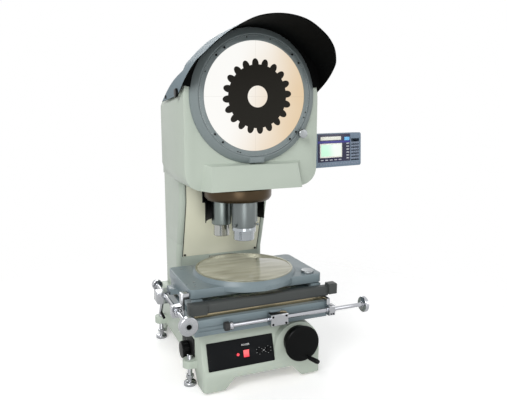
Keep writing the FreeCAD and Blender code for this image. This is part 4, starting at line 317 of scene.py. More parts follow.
# %% [markdown]
# ## The projected shadow
# The workpiece is a small gear, thrown up as a black shape on a bright screen with crosshairs.
# The light is white on the left and warmer on the right. It is drawn with maths on the place of
# each point, so it needs no picture: the angle round the gear gives the distance from the nearest
# tooth's centre line, and the radius says whether the point is on the body, a tooth or light.

# %% The screen's picture
SCREEN_CENTRE_Z = 0.963
GEAR_X = 0.0076
GEAR_ROOT = 0.1015
GEAR_TIP = 0.1205
GEAR_BORE = 0.0345
GEAR_TEETH = 20
GEAR_TURN = 100.25
TOOTH_HALF = 0.0116
TOOTH_CURVE = 2.3
SHADOW_SOFT = 0.0006
CROSS_HALF = 0.00035
CROSS_SOFT = 0.0003
WARM_FROM, WARM_SOFT = 0.09, 0.13
SCREEN_GLOW = 0.96


def projected_gear():
    finish = Finish("projected shadow", (0.012, 0.012, 0.01), 0.5, **{"Specular IOR Level": 0.08})
    x, z = finish.axes()[::2]
    across = x - GEAR_X
    up = z - SCREEN_CENTRE_Z
    radius = (across * across + up * up) ** 0.5
    angle = up.math("ARCTAN2", up, across)
    turn = angle * (GEAR_TEETH / (2 * math.pi)) + GEAR_TURN
    offset = (turn.math("FRACT", turn) - 0.5).unsigned()
    arc = offset * radius * (2 * math.pi / GEAR_TEETH)
    height = (radius - GEAR_ROOT) * (1 / (GEAR_TIP - GEAR_ROOT))
    height = finish.node("ShaderNodeClamp", {}, {"Value": height})
    width = (1.0 - height ** TOOTH_CURVE) ** 0.5 * TOOTH_HALF
    tooth = (width - arc).above(0.0, SHADOW_SOFT) * radius.below(GEAR_TIP, SHADOW_SOFT)
    body = radius.below(GEAR_ROOT, SHADOW_SOFT)
    gear = tooth.or_more(body) * radius.above(GEAR_BORE, SHADOW_SOFT)
    line_x = x.unsigned().below(CROSS_HALF, CROSS_SOFT)
    line_z = up.unsigned().below(CROSS_HALF, CROSS_SOFT)
    lines = line_x.or_more(line_z)
    drift = across * 0.9 - up * 0.25 + finish.noise(5.0, 1.0) * 0.10
    warm = drift.above(WARM_FROM, WARM_SOFT)
    glow = finish.mix(warm, full((1.0, 0.99, 0.96)), full(linear(232, 206, 170)))
    glow = finish.mix(lines * 0.3, glow, full(linear(150, 140, 120)))
    glow = finish.mix(gear, glow, full(linear(16, 12, 8)))
    finish.feed("Emission Color", glow)
    finish.shader.inputs["Emission Strength"].default_value = SCREEN_GLOW
    return finish.material


screen_picture = projected_gear()
print("screen picture uses", len(screen_picture.node_tree.nodes), "shader nodes")

# %% [markdown]
# ## Finishes that change over one piece
# A handwheel's disc is black but its shaft is bare steel, and a lens barrel is satin above and
# bright below. A mask on the place of each point splits the finish without cutting the mesh.

# %% Two finishes in one
def split(name, first, second, mask, shine=(0.35, 0.35), metal=(0.0, 0.0), gloss=0.3):
    """One material with two finishes, divided by a mask made from the point's place."""
    finish = Finish(name, first, shine[0], **{"Specular IOR Level": gloss})
    side = mask(finish)
    patches = finish.noise(9.0, 3.0) * 0.12
    first_tone = finish.mix(patches, full(first), full(tuple(value * 0.5 for value in first)))
    second_tone = finish.mix(patches, full(second), full(tuple(value * 0.5 for value in second)))
    finish.feed("Base Color", finish.mix(side, first_tone, second_tone))
    finish.feed("Roughness", side * (shine[1] - shine[0]) + shine[0])
    finish.feed("Metallic", side * (metal[1] - metal[0]) + metal[0])
    finish.bump(finish.noise(500.0, 2.0), 0.00007)
    return finish.material


MASK_SOFT = 0.0004
WHEEL_BACK_Y = -0.1775
FRONT_BARREL_Z, SIDE_BARREL_Z = 0.5125, 0.5085
COLLAR_END_X = -0.1305


def along(axis, edge, beyond):
    """A mask that steps at one place on an axis, towards higher values if beyond is true."""
    def mask(finish):
        place = finish.axes()[axis]
        return place.above(edge, MASK_SOFT) if beyond else place.below(edge, MASK_SOFT)
    return mask


wheel_metal = split("handwheel and shaft", linear(8, 9, 9), (0.45, 0.45, 0.45),
                    along(1, WHEEL_BACK_Y, True), (0.30, 0.30), (0.0, 1.0), BLACK_GLOSS)
front_lens_metal = split("front lens barrel", (0.17, 0.19, 0.19), (0.40, 0.43, 0.45),
                         along(2, FRONT_BARREL_Z, False), (0.36, 0.13), (1.0, 1.0))
side_lens_metal = split("side lens barrel", (0.20, 0.23, 0.22), (0.44, 0.45, 0.43),
                        along(2, SIDE_BARREL_Z, False), (0.34, 0.12), (1.0, 1.0))
feed_rod_metal = split("feed rod and knurled collar", (0.50, 0.51, 0.54), (0.03, 0.03, 0.03),
                       along(0, COLLAR_END_X, False), (0.12, 0.42), (1.0, 0.0))
print("split finishes made, materials now", len(bpy.data.materials))

# %% [markdown]
# ## Dressing the solids
# A machined or cast edge is never knife sharp: the tiny round catches light. Each solid is copied,
# its loose triangles are joined into clean faces, and a bevel of a millimetre or less rounds the
# sharp edges. The copy then stands for the CAD node, which stays underneath for physics.

# %% Soft edges on a copy of a CAD solid
MERGE = 1e-6
FLAT = math.radians(2.0)
SHARP = math.radians(32.0)


def put_in_scene(name, data):
    item = bpy.data.objects.new(name, data)
    bpy.context.scene.collection.objects.link(item)
    return item


def apply(piece, modifier):
    """Puts a modifier's result into the mesh itself."""
    graph = bpy.context.evaluated_depsgraph_get()
    result = bpy.data.meshes.new_from_object(piece.evaluated_get(graph))
    piece.modifiers.remove(modifier)
    piece.data = result


def dress(node, material, soften):
    source = nodes[node]
    shape = bmesh.new()
    shape.from_mesh(source.data)
    bmesh.ops.remove_doubles(shape, verts=shape.verts, dist=MERGE)
    bmesh.ops.dissolve_limit(shape, angle_limit=FLAT, verts=shape.verts, edges=shape.edges)
    mesh = bpy.data.meshes.new(node + "_dressed")
    shape.to_mesh(mesh)
    shape.free()
    mesh.materials.clear()
    mesh.materials.append(material)
    piece = put_in_scene(node + "_dressed", mesh)
    if soften:
        bevel = piece.modifiers.new("soft edge", "BEVEL")
        bevel.width = soften
        bevel.segments = 2
        bevel.limit_method = "ANGLE"
        bevel.angle_limit = SHARP
        bevel.harden_normals = False
        bevel.use_clamp_overlap = True
        apply(piece, bevel)
    piece.data.shade_smooth()
    piece.data.set_sharp_from_angle(angle=SHARP)
    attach(piece, source["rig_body"])
    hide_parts(node)
    return piece


FINISHES = {
    "base_casting": (casting_enamel, 0.0016), "head_casting": (casting_enamel, 0.0020),
    "column_lower": (casting_enamel, 0.0010), "column_upper": (casting_enamel, 0.0010),
    "column_cover": (cover_enamel_painted_warm_light, 0.0006), "rear_cover": (casting_enamel, 0.0006),
    "z_carriage": (slide_enamel, 0.0010), "x_slide": (slide_enamel, 0.0008),
    "stage_plate": (slide_enamel, 0.0008), "fixed_ring": (ring_enamel, 0.0004),
    "scale_ring": (ring_enamel, 0.0004),
    "hood_knob_left": (black_plastic, 0.0005), "hood_knob_right": (black_plastic, 0.0005),
    "side_knob": (black_plastic, 0.0006), "side_plate": (black_enamel, 0.0003),
    "control_panel": (panel_enamel, 0.0002), "mains_inlet": (black_plastic, 0.0002),
    "handwheel": (wheel_metal, 0.0005), "handwheel_grip": (black_plastic, 0.0004),
    "x_encoder": (encoder_enamel, 0.0008), "lift_screw": (ground_steel, 0.0),
    "lift_guide": (ground_steel, 0.0004), "x_guideway": (oiled_way, 0.0003),
    "x_nut_block": (chrome, 0.0006), "x_bracket": (chrome, 0.0006), "x_rod": (feed_rod_metal, 0.0004),
    "y_nut_block": (chrome, 0.0006), "y_bracket": (chrome, 0.0006), "y_rod": (chrome, 0.0004),
    "stage_rim": (rim_metal, 0.0003), "stage_glass": (stage_glass, 0.0002),
    "stage_fittings": (satin_silver, 0.0003), "vernier_plate": (ring_enamel, 0.0002),
    "screen_glass": (screen_picture, 0.0), "screen_clips": (ring_enamel, 0.0002),
    "ring_lock_knob": (satin_silver, 0.0004), "turret_mount": (dark_bronze, 0.0004),
    "turret_disc": (dark_bronze, 0.0008), "turret_skirt": (black_enamel, 0.0003),
    "objective_front": (front_lens_metal, 0.0003), "objective_left": (side_lens_metal, 0.0003),
    "objective_right": (side_lens_metal, 0.0003), "objective_lenses": (lens_glass, 0.0),
    "arm_bracket": (black_enamel, 0.0005), "readout_arm": (black_enamel, 0.0004),
    "readout_housing": (case_enamel, 0.0008), "readout_rear_cover": (case_enamel, 0.0005),
    "condenser": (lit_lens, 0.0002), "lamp_unit": (plain_sheet, 0.0003), "mirrors": (mirror_silver, 0.0),
    "mirror_frames": (plain_sheet, 0.0003), "fixing_screws": (black_enamel, 0.0002),
    "levelling_foot_front_left": (chrome, 0.0004), "levelling_foot_front_right": (chrome, 0.0004),
    "levelling_foot_rear_left": (chrome, 0.0004), "levelling_foot_rear_right": (chrome, 0.0004),
}
dressed = {node: dress(node, material, soften) for node, (material, soften) in FINISHES.items()}
print("dressed", len(dressed), "solids; left for detail:", sorted(set(nodes) - set(dressed)))

# %% [markdown]
# ## Lamps of the front panel
# The rocker and the pilot lamp are lit from behind: saturated red plastic with a little glow.

# %% Lit plastics
rocker_red = Finish("lit rocker red", linear(214, 40, 52), 0.3)
rocker_red.shader.inputs["Emission Strength"].default_value = 0.5
ROCKER_Z = 0.1165
rocker_heart = (rocker_red.axes()[2] - ROCKER_Z).above(-0.004, 0.008)
rocker_edge_red = full(linear(226, 60, 80))
rocker_heart_red = full(linear(255, 150, 150))
rocker_red.feed("Emission Color", rocker_red.mix(rocker_heart, rocker_edge_red, rocker_heart_red))
dress("power_rocker", rocker_red.material, 0.0005)

PILOT_END_X = -0.05
fitting_black = linear(14, 14, 15)
fitting_tone = Finish("panel fittings", fitting_black, 0.45, **{"Specular IOR Level": BLACK_GLOSS})
lamp_mask = fitting_tone.axes()[0].below(PILOT_END_X, 0.001)
lamp_tone = fitting_tone.mix(lamp_mask, full(fitting_black), full(linear(235, 70, 80)))
fitting_tone.feed("Base Color", lamp_tone)
lamp_glow = fitting_tone.mix(lamp_mask, full((0, 0, 0)), full(linear(240, 90, 100)))
fitting_tone.feed("Emission Color", lamp_glow)
fitting_tone.shader.inputs["Emission Strength"].default_value = 0.5
dress("panel_fittings", fitting_tone.material, 0.0002)
print("panel lamps lit")

# %% [markdown]
# ## Helpers for small pieces
# Small flat things are boxes and discs built straight into one mesh, in the machine's own frame,
# so that every finished object sits at the origin, unturned.

# %% Building pieces from simple solids
def add_box(shape, low, high, place=Matrix.Identity(4)):
    size = Vector(high) - Vector(low)
    middle = (Vector(high) + Vector(low)) / 2
    made = bmesh.ops.create_cube(shape, size=1.0)
    scale = Matrix.Diagonal((*size, 1.0))
    bmesh.ops.transform(shape, matrix=place @ Matrix.Translation(middle) @ scale, verts=made["verts"])


def add_bar(shape, radius, start, end, sides):
    start, end = Vector(start), Vector(end)
    run = end - start
    made = bmesh.ops.create_cone(shape, cap_ends=True, segments=sides, radius1=radius, radius2=radius,
                                 depth=run.length)
    turn = run.to_track_quat("Z", "Y").to_matrix().to_4x4()
    middle = Matrix.Translation((start + end) / 2)
    bmesh.ops.transform(shape, matrix=middle @ turn, verts=made["verts"])


def finished(name, shape, material, body, soften=0.0, smooth_angle=35.0):
    """Turns a built shape into an object that rides on a body."""
    mesh = bpy.data.meshes.new(name)
    shape.to_mesh(mesh)
    shape.free()
    mesh.materials.append(material)
    piece = put_in_scene(name, mesh)
    if soften:
        bevel = piece.modifiers.new("soft edge", "BEVEL")
        bevel.width = soften
        bevel.segments = 2
        bevel.limit_method = "ANGLE"
        apply(piece, bevel)
    piece.data.shade_smooth()
    piece.data.set_sharp_from_angle(angle=math.radians(smooth_angle))
    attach(piece, body)
    return piece


print("helpers ready")

# %% [markdown]
# ## The hood
# The hood is one bent sheet: flat arms beside the head, joined over the screen by an arch that
# widens towards its lip. The surface is ruled between two sections, and two outlines seen from the
# side say where the sheet starts and ends. Solidify gives it its thickness, and the second material
# slot paints the inner skin black. A black strip closes the slit between the sheet and the ring and covers
# the head's face there: it is painted shade, standing in for the deep shade under the hood.

# %% The hood's sections and side outlines
MM = 0.001
HOOD_SEAT_Y = -0.092
HOOD_LIP_Y = -0.310
HOOD_THICKNESS = 0.0025
HOOD_SEAT = ((243, -17), (243, 50), (229, 92), (211, 114), (181, 144), (136, 179), (72, 210), (0, 222.5))
HOOD_LIP = ((246, -17), (248, 45), (237, 97), (213, 127), (184, 157), (141, 188), (76, 220), (0, 231))
ARM_TIP = Vector((160, -17)) * MM
ARM_FRONT = Vector((-52, 3)) * MM
LIP_JOIN = Vector((-241, 119)) * MM


def both_halves(section):
    """A whole section from the right half's places beside and above the screen's centre."""
    right = [Vector((across, rise)) * MM for across, rise in section]
    return right + [Vector((-point.x, point.y)) for point in reversed(right[:-1])]


def curve_point(points, place):
    """A point of the smooth curve through a list of points, with the place counted in points."""
    index = min(int(place), len(points) - 2)
    part = place - index
    nearby = [min(max(index + step, 0), len(points) - 1) for step in (-1, 0, 1, 2)]
    before, start, end, after = [points[number] for number in nearby]
    tangent_in = (end - before) / 2
    tangent_out = (after - start) / 2
    drift = end - start
    return (start + tangent_in * part + (3 * drift - 2 * tangent_in - tangent_out) * part ** 2
            + (tangent_in + tangent_out - 2 * drift) * part ** 3)


def circle_through(first, middle, last):
    """Centre and radius of the circle through three points of the side view."""
    chord, reach = middle - first, last - first
    twice_area = 2 * (chord.x * reach.y - chord.y * reach.x)
    centre = first + Vector((reach.y * chord.length_squared - chord.y * reach.length_squared,
                             chord.x * reach.length_squared - reach.x * chord.length_squared)) / twice_area
    return centre, (first - centre).length


lower_front = circle_through(ARM_FRONT, Vector((-158, 63)) * MM, LIP_JOIN)
upper_front = circle_through(LIP_JOIN, Vector((-288, 174)) * MM, Vector((-310, 242)) * MM)
arm_rear = circle_through(Vector((-92, 78)) * MM, Vector((19, 43)) * MM, ARM_TIP)


def front_rise(depth):
    """Height of the sheet's front edge at a depth."""
    centre, radius = lower_front if depth > LIP_JOIN.x else upper_front
    return centre.y - math.sqrt(max(radius ** 2 - (depth - centre.x) ** 2, 0.0))


def rear_depth(rise):
    """Depth of the sheet's rear edge at a height: along the arm's arc, then straight across."""
    centre, radius = arm_rear
    return max(centre.x + math.sqrt(max(radius ** 2 - (rise - centre.y) ** 2, 0.0)), HOOD_SEAT_Y)


print("hood outlines ready; the front edge is", round(front_rise(HOOD_SEAT_Y) / MM), "mm up at the seat")

# %% The hood's sheet
HOOD_COLUMNS = 112
HALVINGS = 24
ARM_ROWS, ARCH_ROWS = 8, 22
seat_section = both_halves(HOOD_SEAT)
lip_section = both_halves(HOOD_LIP)


def hood_point(place, depth):
    flare = min(max((HOOD_SEAT_Y - depth) / (HOOD_SEAT_Y - HOOD_LIP_Y), 0.0), 1.0)
    side = curve_point(seat_section, place).lerp(curve_point(lip_section, place), flare)
    return Vector((side.x, depth, SCREEN_CENTRE_Z + side.y))


def front_depth(place):
    """Where the ruled surface meets the front edge, found by halving."""
    rise = hood_point(place, 0.0).z - SCREEN_CENTRE_Z
    if rise < ARM_FRONT.y:
        share = (rise - ARM_TIP.y) / (ARM_FRONT.y - ARM_TIP.y)
        return ARM_TIP.x + share * (ARM_FRONT.x - ARM_TIP.x)
    near, far = HOOD_LIP_Y, ARM_FRONT.x
    for _ in range(HALVINGS):
        middle = (near + far) / 2
        above = hood_point(place, middle).z - SCREEN_CENTRE_Z > front_rise(middle)
        near, far = (near, middle) if above else (middle, far)
    return far


def column_depths(place):
    """Depths of one column's points, with one at the line where the arch starts to widen."""
    rear = rear_depth(hood_point(place, 0.0).z - SCREEN_CENTRE_Z)
    front = front_depth(place)
    bend = min(max(HOOD_SEAT_Y, front), rear)
    arm = [rear + (bend - rear) * row / ARM_ROWS for row in range(ARM_ROWS)]
    return arm + [bend + (front - bend) * row / ARCH_ROWS for row in range(ARCH_ROWS + 1)]


def bent_sheet():
    shape = bmesh.new()
    columns = []
    for column in range(HOOD_COLUMNS + 1):
        place = column * (len(seat_section) - 1) / HOOD_COLUMNS
        columns.append([shape.verts.new(hood_point(place, depth)) for depth in column_depths(place)])
    for left, right in zip(columns, columns[1:]):
        for row in range(len(left) - 1):
            shape.faces.new((left[row], left[row + 1], right[row + 1], right[row]))
    bmesh.ops.remove_doubles(shape, verts=shape.verts, dist=0.00002)
    bmesh.ops.recalc_face_normals(shape, faces=shape.faces)
    if sum(face.normal.z * face.calc_area() for face in shape.faces) < 0:
        bmesh.ops.reverse_faces(shape, faces=shape.faces)
    return shape


hood_piece = finished("hood_sheet", bent_sheet(), hood_outside, nodes["hood"]["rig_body"], smooth_angle=60)
hood_piece.data.materials.append(hood_inside)
thickness = hood_piece.modifiers.new("sheet", "SOLIDIFY")
thickness.thickness = HOOD_THICKNESS
thickness.offset = -1
thickness.material_offset = 1
thickness.material_offset_rim = 1
apply(hood_piece, thickness)
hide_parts("hood")
print("hood faces:", len(hood_piece.data.polygons))

# %% The painted shade strip behind the hood
SHADE_STRIP_LOW_RISE = front_rise(HOOD_SEAT_Y)
SHADE_STRIP_FRONT_Y, SHADE_STRIP_REAR_Y = -0.0955, -0.0925
SHADE_STRIP_INNER = 0.2165
SHADE_STRIP_TUCK = 0.6 * HOOD_THICKNESS


def painted_shade_strip():
    shape = bmesh.new()
    stations = []
    for column in range(HOOD_COLUMNS + 1):
        edge = curve_point(seat_section, column * (len(seat_section) - 1) / HOOD_COLUMNS)
        if edge.y > SHADE_STRIP_LOW_RISE:
            outer = edge * (1 - SHADE_STRIP_TUCK / edge.length)
            inner = edge.normalized() * SHADE_STRIP_INNER
            corners = ((inner, SHADE_STRIP_FRONT_Y), (outer, SHADE_STRIP_FRONT_Y),
                       (outer, SHADE_STRIP_REAR_Y), (inner, SHADE_STRIP_REAR_Y))
            stations.append([shape.verts.new((at.x, y, SCREEN_CENTRE_Z + at.y)) for at, y in corners])
    for here, there in zip(stations, stations[1:]):
        for corner in range(4):
            following = (corner + 1) % 4
            shape.faces.new((here[corner], here[following], there[following], there[corner]))
    shape.faces.new(stations[0])
    shape.faces.new(reversed(stations[-1]))
    bmesh.ops.recalc_face_normals(shape, faces=shape.faces)
    return shape


# Painted shade: the black strip covers the head's face between the ring and the hood, where the hood
# throws deep shade.
finished("hood_felt", painted_shade_strip(), hood_inside, nodes["hood"]["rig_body"])
print("felt strip closes the slit")

# %% [markdown]
# ## Details of the feed screws
# The knob of the depth feed has a blind hole in its face, and its bearing block has a dark eye
# round the rod. Both are painted shade: shallow black discs laid on the metal, too thin to change its
# outline.

# %% Painted shade in the hole and the eye, and the bright land
FEED_X, FEED_Z = -0.280, 0.281
KNOB_FACE_Y = -0.261
BLOCK_FACE_Y = -0.136


def feed_disc(name, radius, face_y, proud, material, body):
    shape = bmesh.new()
    add_bar(shape, radius, (FEED_X, face_y - proud, FEED_Z), (FEED_X, face_y + 0.0006, FEED_Z), 40)
    return finished(name, shape, material, body)


feed_body = nodes["y_rod"]["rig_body"]
# Painted shade: the black discs stand for the shade inside the knob's hole and round the rod.
feed_disc("knob_hole", 0.0085, KNOB_FACE_Y, 0.00016, shadow_black, feed_body)
feed_disc("knob_land", 0.0130, KNOB_FACE_Y, 0.00008, satin_silver, feed_body)
feed_disc("bearing_eye", 0.0115, BLOCK_FACE_Y, 0.0001, shadow_black, nodes["y_bracket"]["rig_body"])
print("feed screw details made")

# %% Release lever under the nut block
LEVER_TOP = (-0.285, 0.066, 0.254)
LEVER_ELBOW = (-0.286, 0.088, 0.203)
LEVER_TIP = (-0.284, 0.048, 0.196)
nut_body = nodes["y_nut_block"]["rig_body"]
lever_arm = bmesh.new()
add_bar(lever_arm, 0.0065, LEVER_TOP, LEVER_ELBOW, 20)
finished("release_lever_arm", lever_arm, chrome, nut_body, 0.0008)
lever_grip = bmesh.new()
add_bar(lever_grip, 0.0050, LEVER_ELBOW, LEVER_TIP, 20)
finished("release_lever_grip", lever_grip, black_plastic, nut_body, 0.0010)
print("release lever hangs from the nut block")

# %% [markdown]
# ## Screws by Geometry Nodes
# Two kinds of small screw sit in some twenty places. A template is put on points, each carrying
# the direction that its screw faces, and the copies are made real so that they export.

# %% A node tree that puts a template on points
def scatter_tree(name):
    """Puts a template object on every vertex, turned to the vertex's own facing direction."""
    tree = bpy.data.node_groups.new(name, "GeometryNodeTree")
    face = tree.interface
    face.new_socket("Geometry", in_out="INPUT", socket_type="NodeSocketGeometry")
    face.new_socket("Template", in_out="INPUT", socket_type="NodeSocketObject")
    face.new_socket("Size", in_out="INPUT", socket_type="NodeSocketFloat")
    face.new_socket("Finish", in_out="INPUT", socket_type="NodeSocketMaterial")
    face.new_socket("Geometry", in_out="OUTPUT", socket_type="NodeSocketGeometry")
    make, link = tree.nodes.new, tree.links.new
    source = make("NodeGroupInput")
    template = make("GeometryNodeObjectInfo")
    facing = make("GeometryNodeInputNamedAttribute")
    facing.data_type = "FLOAT_VECTOR"
    facing.inputs["Name"].default_value = "facing"
    align = make("FunctionNodeAlignRotationToVector")
    align.axis = "Z"
    copies = make("GeometryNodeInstanceOnPoints")
    real = make("GeometryNodeRealizeInstances")
    paint = make("GeometryNodeSetMaterial")
    target = make("NodeGroupOutput")
    link(source.outputs["Template"], template.inputs["Object"])
    link(facing.outputs["Attribute"], align.inputs["Vector"])
    link(source.outputs["Geometry"], copies.inputs["Points"])
    link(template.outputs["Geometry"], copies.inputs["Instance"])
    link(align.outputs["Rotation"], copies.inputs["Rotation"])
    link(source.outputs["Size"], copies.inputs["Scale"])
    link(copies.outputs["Instances"], real.inputs["Geometry"])
    link(real.outputs["Geometry"], paint.inputs["Geometry"])
    link(source.outputs["Finish"], paint.inputs["Material"])
    link(paint.outputs["Geometry"], target.inputs["Geometry"])
    return tree


SCATTER = scatter_tree("template on points")


def scatter(name, spots, template, size, material, body):
    """spots is a list of (place, facing); the result is one plain mesh that rides on a body."""
    mesh = bpy.data.meshes.new(name)
    mesh.from_pydata([tuple(place) for place, facing in spots], [], [])
    attribute = mesh.attributes.new("facing", "FLOAT_VECTOR", "POINT")
    for item, (place, facing) in zip(attribute.data, spots):
        item.vector = tuple(facing)
    piece = put_in_scene(name, mesh)
    modifier = piece.modifiers.new("copies", "NODES")
    modifier.node_group = SCATTER
    inputs = [item for item in SCATTER.interface.items_tree if item.in_out == "INPUT"]
    names = {item.name: item.identifier for item in inputs}
    modifier[names["Template"]] = template
    modifier[names["Size"]] = size
    modifier[names["Finish"]] = material
    piece.update_tag()
    apply(piece, modifier)
    piece.data.shade_smooth()
    piece.data.set_sharp_from_angle(angle=math.radians(35))
    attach(piece, body)
    return piece


print("scatter tree has", len(SCATTER.nodes), "nodes")

# %% Screw templates
def template_object(name, shape):
    mesh = bpy.data.meshes.new(name)
    shape.to_mesh(mesh)
    shape.free()
    return bpy.data.objects.new(name, mesh)


def lathe(shape, outline, sides=20):
    """Turns (radius, height) points round the Z axis."""
    rings = []
    for radius, height in outline:
        if radius == 0:
            rings.append([shape.verts.new((0, 0, height))])
            continue
        turn = [2 * math.pi * step / sides for step in range(sides)]
        rings.append([shape.verts.new((radius * math.cos(a), radius * math.sin(a), height)) for a in turn])
    for low, high in zip(rings, rings[1:]):
        for step in range(sides):
            after = (step + 1) % sides
            if len(low) == 1:
                shape.faces.new((low[0], high[after], high[step]))
            elif len(high) == 1:
                shape.faces.new((low[step], low[after], high[0]))
            else:
                shape.faces.new((low[step], low[after], high[after], high[step]))


def socket_screw():
    """A cap screw head, 1 across and 0.3 high, with a round-bottomed key socket."""
    shape = bmesh.new()
    lathe(shape, [(0, 0), (0.5, 0), (0.5, 0.24), (0.44, 0.30), (0.26, 0.30), (0.24, 0.10), (0, 0.06)])
    return template_object("cap screw", shape)


def slotted_screw():
    """A cheese head, 1 across, with its slot drawn as a raised pair of halves."""
    shape = bmesh.new()
    lathe(shape, [(0, 0), (0.5, 0), (0.5, 0.16), (0.45, 0.2), (0, 0.2)])
    for side in (-1, 1):
        low = (-0.40, 0.08 if side > 0 else -0.34, 0.19)
        high = (0.40, 0.34 if side > 0 else -0.08, 0.25)
        add_box(shape, low, high)
    return template_object("cheese head screw", shape)


cap_screw = socket_screw()
cheese_screw = slotted_screw()
print("templates:", cap_screw.name, "and", cheese_screw.name)

# %% [markdown]
# ## Screws round the screen
# Pairs of dark screws hold the chart clips on the turning ring, and single ones hold the fixed
# ring. They are what the eye reads as scale on a large round casting.

# %% Screws on the rings
RING_FACE_Y = -0.111
CLIP_FACE_Y = -0.1143
CLIP_SCREW_RADIUS, LONE_SCREW_RADIUS = 0.184, 0.1865


def round_screen(radius, angle, y):
    turn = math.radians(angle)
    return Vector((radius * math.cos(turn), y, SCREEN_CENTRE_Z + radius * math.sin(turn)))


toward_user = Vector((0, -1, 0))
CLIP_SCREWS = (126, 137, 219.5, 231, -49, -39, 36, 47)
clip_spots = [(round_screen(CLIP_SCREW_RADIUS, angle, CLIP_FACE_Y), toward_user) for angle in CLIP_SCREWS]
scatter("clip_screws", clip_spots, cap_screw, 0.0068, black_enamel, "screen")
LONE_SCREWS = (156, 250, 252.8, -21.5, -16, 75, 100)
lone_face_y = RING_FACE_Y - 0.0001
lone_spots = [(round_screen(LONE_SCREW_RADIUS, angle, lone_face_y), toward_user) for angle in LONE_SCREWS]
scatter("scale_ring_screws", lone_spots, cap_screw, 0.0042, black_enamel, "screen")
print("screws on the ring:", len(clip_spots) + len(lone_spots))

# %% Screws on the feed blocks
nut_low, nut_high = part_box("x_nut_block")
bracket_low, bracket_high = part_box("x_bracket")
EDGE_INSET = 0.007
nut_face = [(Vector((x, nut_low.y, z)), toward_user)
            for x in (nut_low.x + EDGE_INSET, nut_high.x - EDGE_INSET)
            for z in (nut_low.z + EDGE_INSET, nut_high.z - EDGE_INSET)]
scatter("nut_screws", nut_face, cheese_screw, 0.0075, black_enamel, nodes["x_nut_block"]["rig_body"])
bracket_face = [(Vector((x, bracket_low.y, bracket_low.z + EDGE_INSET)), toward_user)
                for x in (bracket_low.x + EDGE_INSET, bracket_high.x - EDGE_INSET)]
scatter("bracket_screws", bracket_face, cap_screw, 0.0055, black_enamel, nodes["x_bracket"]["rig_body"])
print("screws on the feed blocks:", len(nut_face) + len(bracket_face))

# %% [markdown]
# ## The shade in the column cover's seams
# A dark line of painted shade shows all the way down both seams of the column's front cover.
# It is a thin round bar that follows the cover's bent front, so short bars with their ends together do it.

# %% Painted seam shade beside the cover
COVER_FRONT = ((0.190, 0.662), (0.190, 0.575), (0.240, 0.403), (0.254, 0.362), (0.254, 0.350))
SEAM_SHADE_RADIUS = 0.0010
cover_low, cover_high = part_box("column_cover")
seam_shade = bmesh.new()
for edge_x in (cover_low.x, cover_high.x):
    for (near_y, near_z), (far_y, far_z) in zip(COVER_FRONT, COVER_FRONT[1:]):
        add_bar(seam_shade, SEAM_SHADE_RADIUS, (edge_x, near_y, near_z), (edge_x, far_y, far_z), 10)
# Painted shade: black bars stand for the shade in the seam gaps beside the cover.
finished("cover_gasket", seam_shade, shadow_black, nodes["column_cover"]["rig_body"])
print("gasket lines beside the cover")

# %% [markdown]
# ## Graduations
# The ring is divided in degrees. Each line is a thin inlaid bar; every fifth and tenth is longer.

# %% Graduation lines on the turning ring
DEGREE_RADIUS = 0.1914
LINE_HALF = 0.00009
LINE_PROUD, LINE_SUNK = 0.00006, 0.0002


def graduations(name, radius, counts, body, material):
    shape = bmesh.new()
    centre = Matrix.Translation((0, 0, SCREEN_CENTRE_Z))
    for index in range(counts):
        length = 0.0042 if index % 10 == 0 else (0.0032 if index % 5 == 0 else 0.0022)
        turn = centre @ Matrix.Rotation(math.radians(index * 360 / counts), 4, "Y")
        low = (radius - length, RING_FACE_Y - LINE_PROUD, -LINE_HALF)
        high = (radius, RING_FACE_Y + LINE_SUNK, LINE_HALF)
        add_box(shape, low, high, turn)
    return finished(name, shape, material, body)


graduations("degree_lines", DEGREE_RADIUS, 360, "screen", white_paint)
print("degree lines: 360")

# %% [markdown]
# ## The readout's face
# The readout is a keypad and a small display in one bezel. It is drawn flat in its own frame, with
# X across, Z up and -Y towards the user, and one matrix puts every piece at its yaw and tilt.

# %% The readout's own frame
READOUT_PLACE = (Matrix.Translation((0.379, 0.0, 0.770)) @ Matrix.Rotation(math.radians(8.9), 4, "Z")
                 @ Matrix.Rotation(math.radians(-2.7), 4, "X"))


def readout_panel(name, pieces, material, soften):
    """pieces is a list of (left, right, low, high, front, back) in the readout's frame, in mm."""
    shape = bmesh.new()
    for left, right, low, high, front, back in pieces:
        corner = (left / 1000, front / 1000, low / 1000)
        other = (right / 1000, back / 1000, high / 1000)
        add_box(shape, corner, other, READOUT_PLACE)
    return finished(name, shape, material, "readout", soften)


bezel_blue = Finish("bezel blue", linear(12, 10, 62), 0.25)
BAND_LOW, BAND_HIGH, BAND_SOFT = 0.7965, 0.8035, 0.003
PALE_FROM_X, PALE_SOFT = 0.345, 0.02
blue_z = bezel_blue.axes()[2]
blue_band = (blue_z - BAND_LOW).above(0.0, BAND_SOFT) * (blue_z - BAND_HIGH).below(0.0, BAND_SOFT)
blue_share = blue_band + bezel_blue.noise(30.0, 1.0) * 0.15
bezel_tone = bezel_blue.mix(blue_share, full(linear(8, 6, 44)), full(linear(30, 22, 140)))
bezel_blue.feed("Base Color", bezel_tone)
display_glow = Finish("display glow", (0.1, 0.1, 0.1), 0.2)
pale = display_glow.axes()[0].above(PALE_FROM_X, PALE_SOFT)
display_tone = display_glow.mix(pale, full(linear(196, 248, 216)), full(linear(240, 253, 240)))
display_glow.feed("Emission Color", display_tone)
display_glow.shader.inputs["Emission Strength"].default_value = 0.92
nameplate_white = plastic("blank name strip", linear(250, 251, 240), 0.3)
soft_blue = plastic("light blue key", linear(120, 200, 250), 0.35)
key_grey = plastic("grey keys", linear(128, 140, 158), 0.4)
key_pale = plastic("pale keys", linear(196, 200, 206), 0.4)
print("readout finishes made")

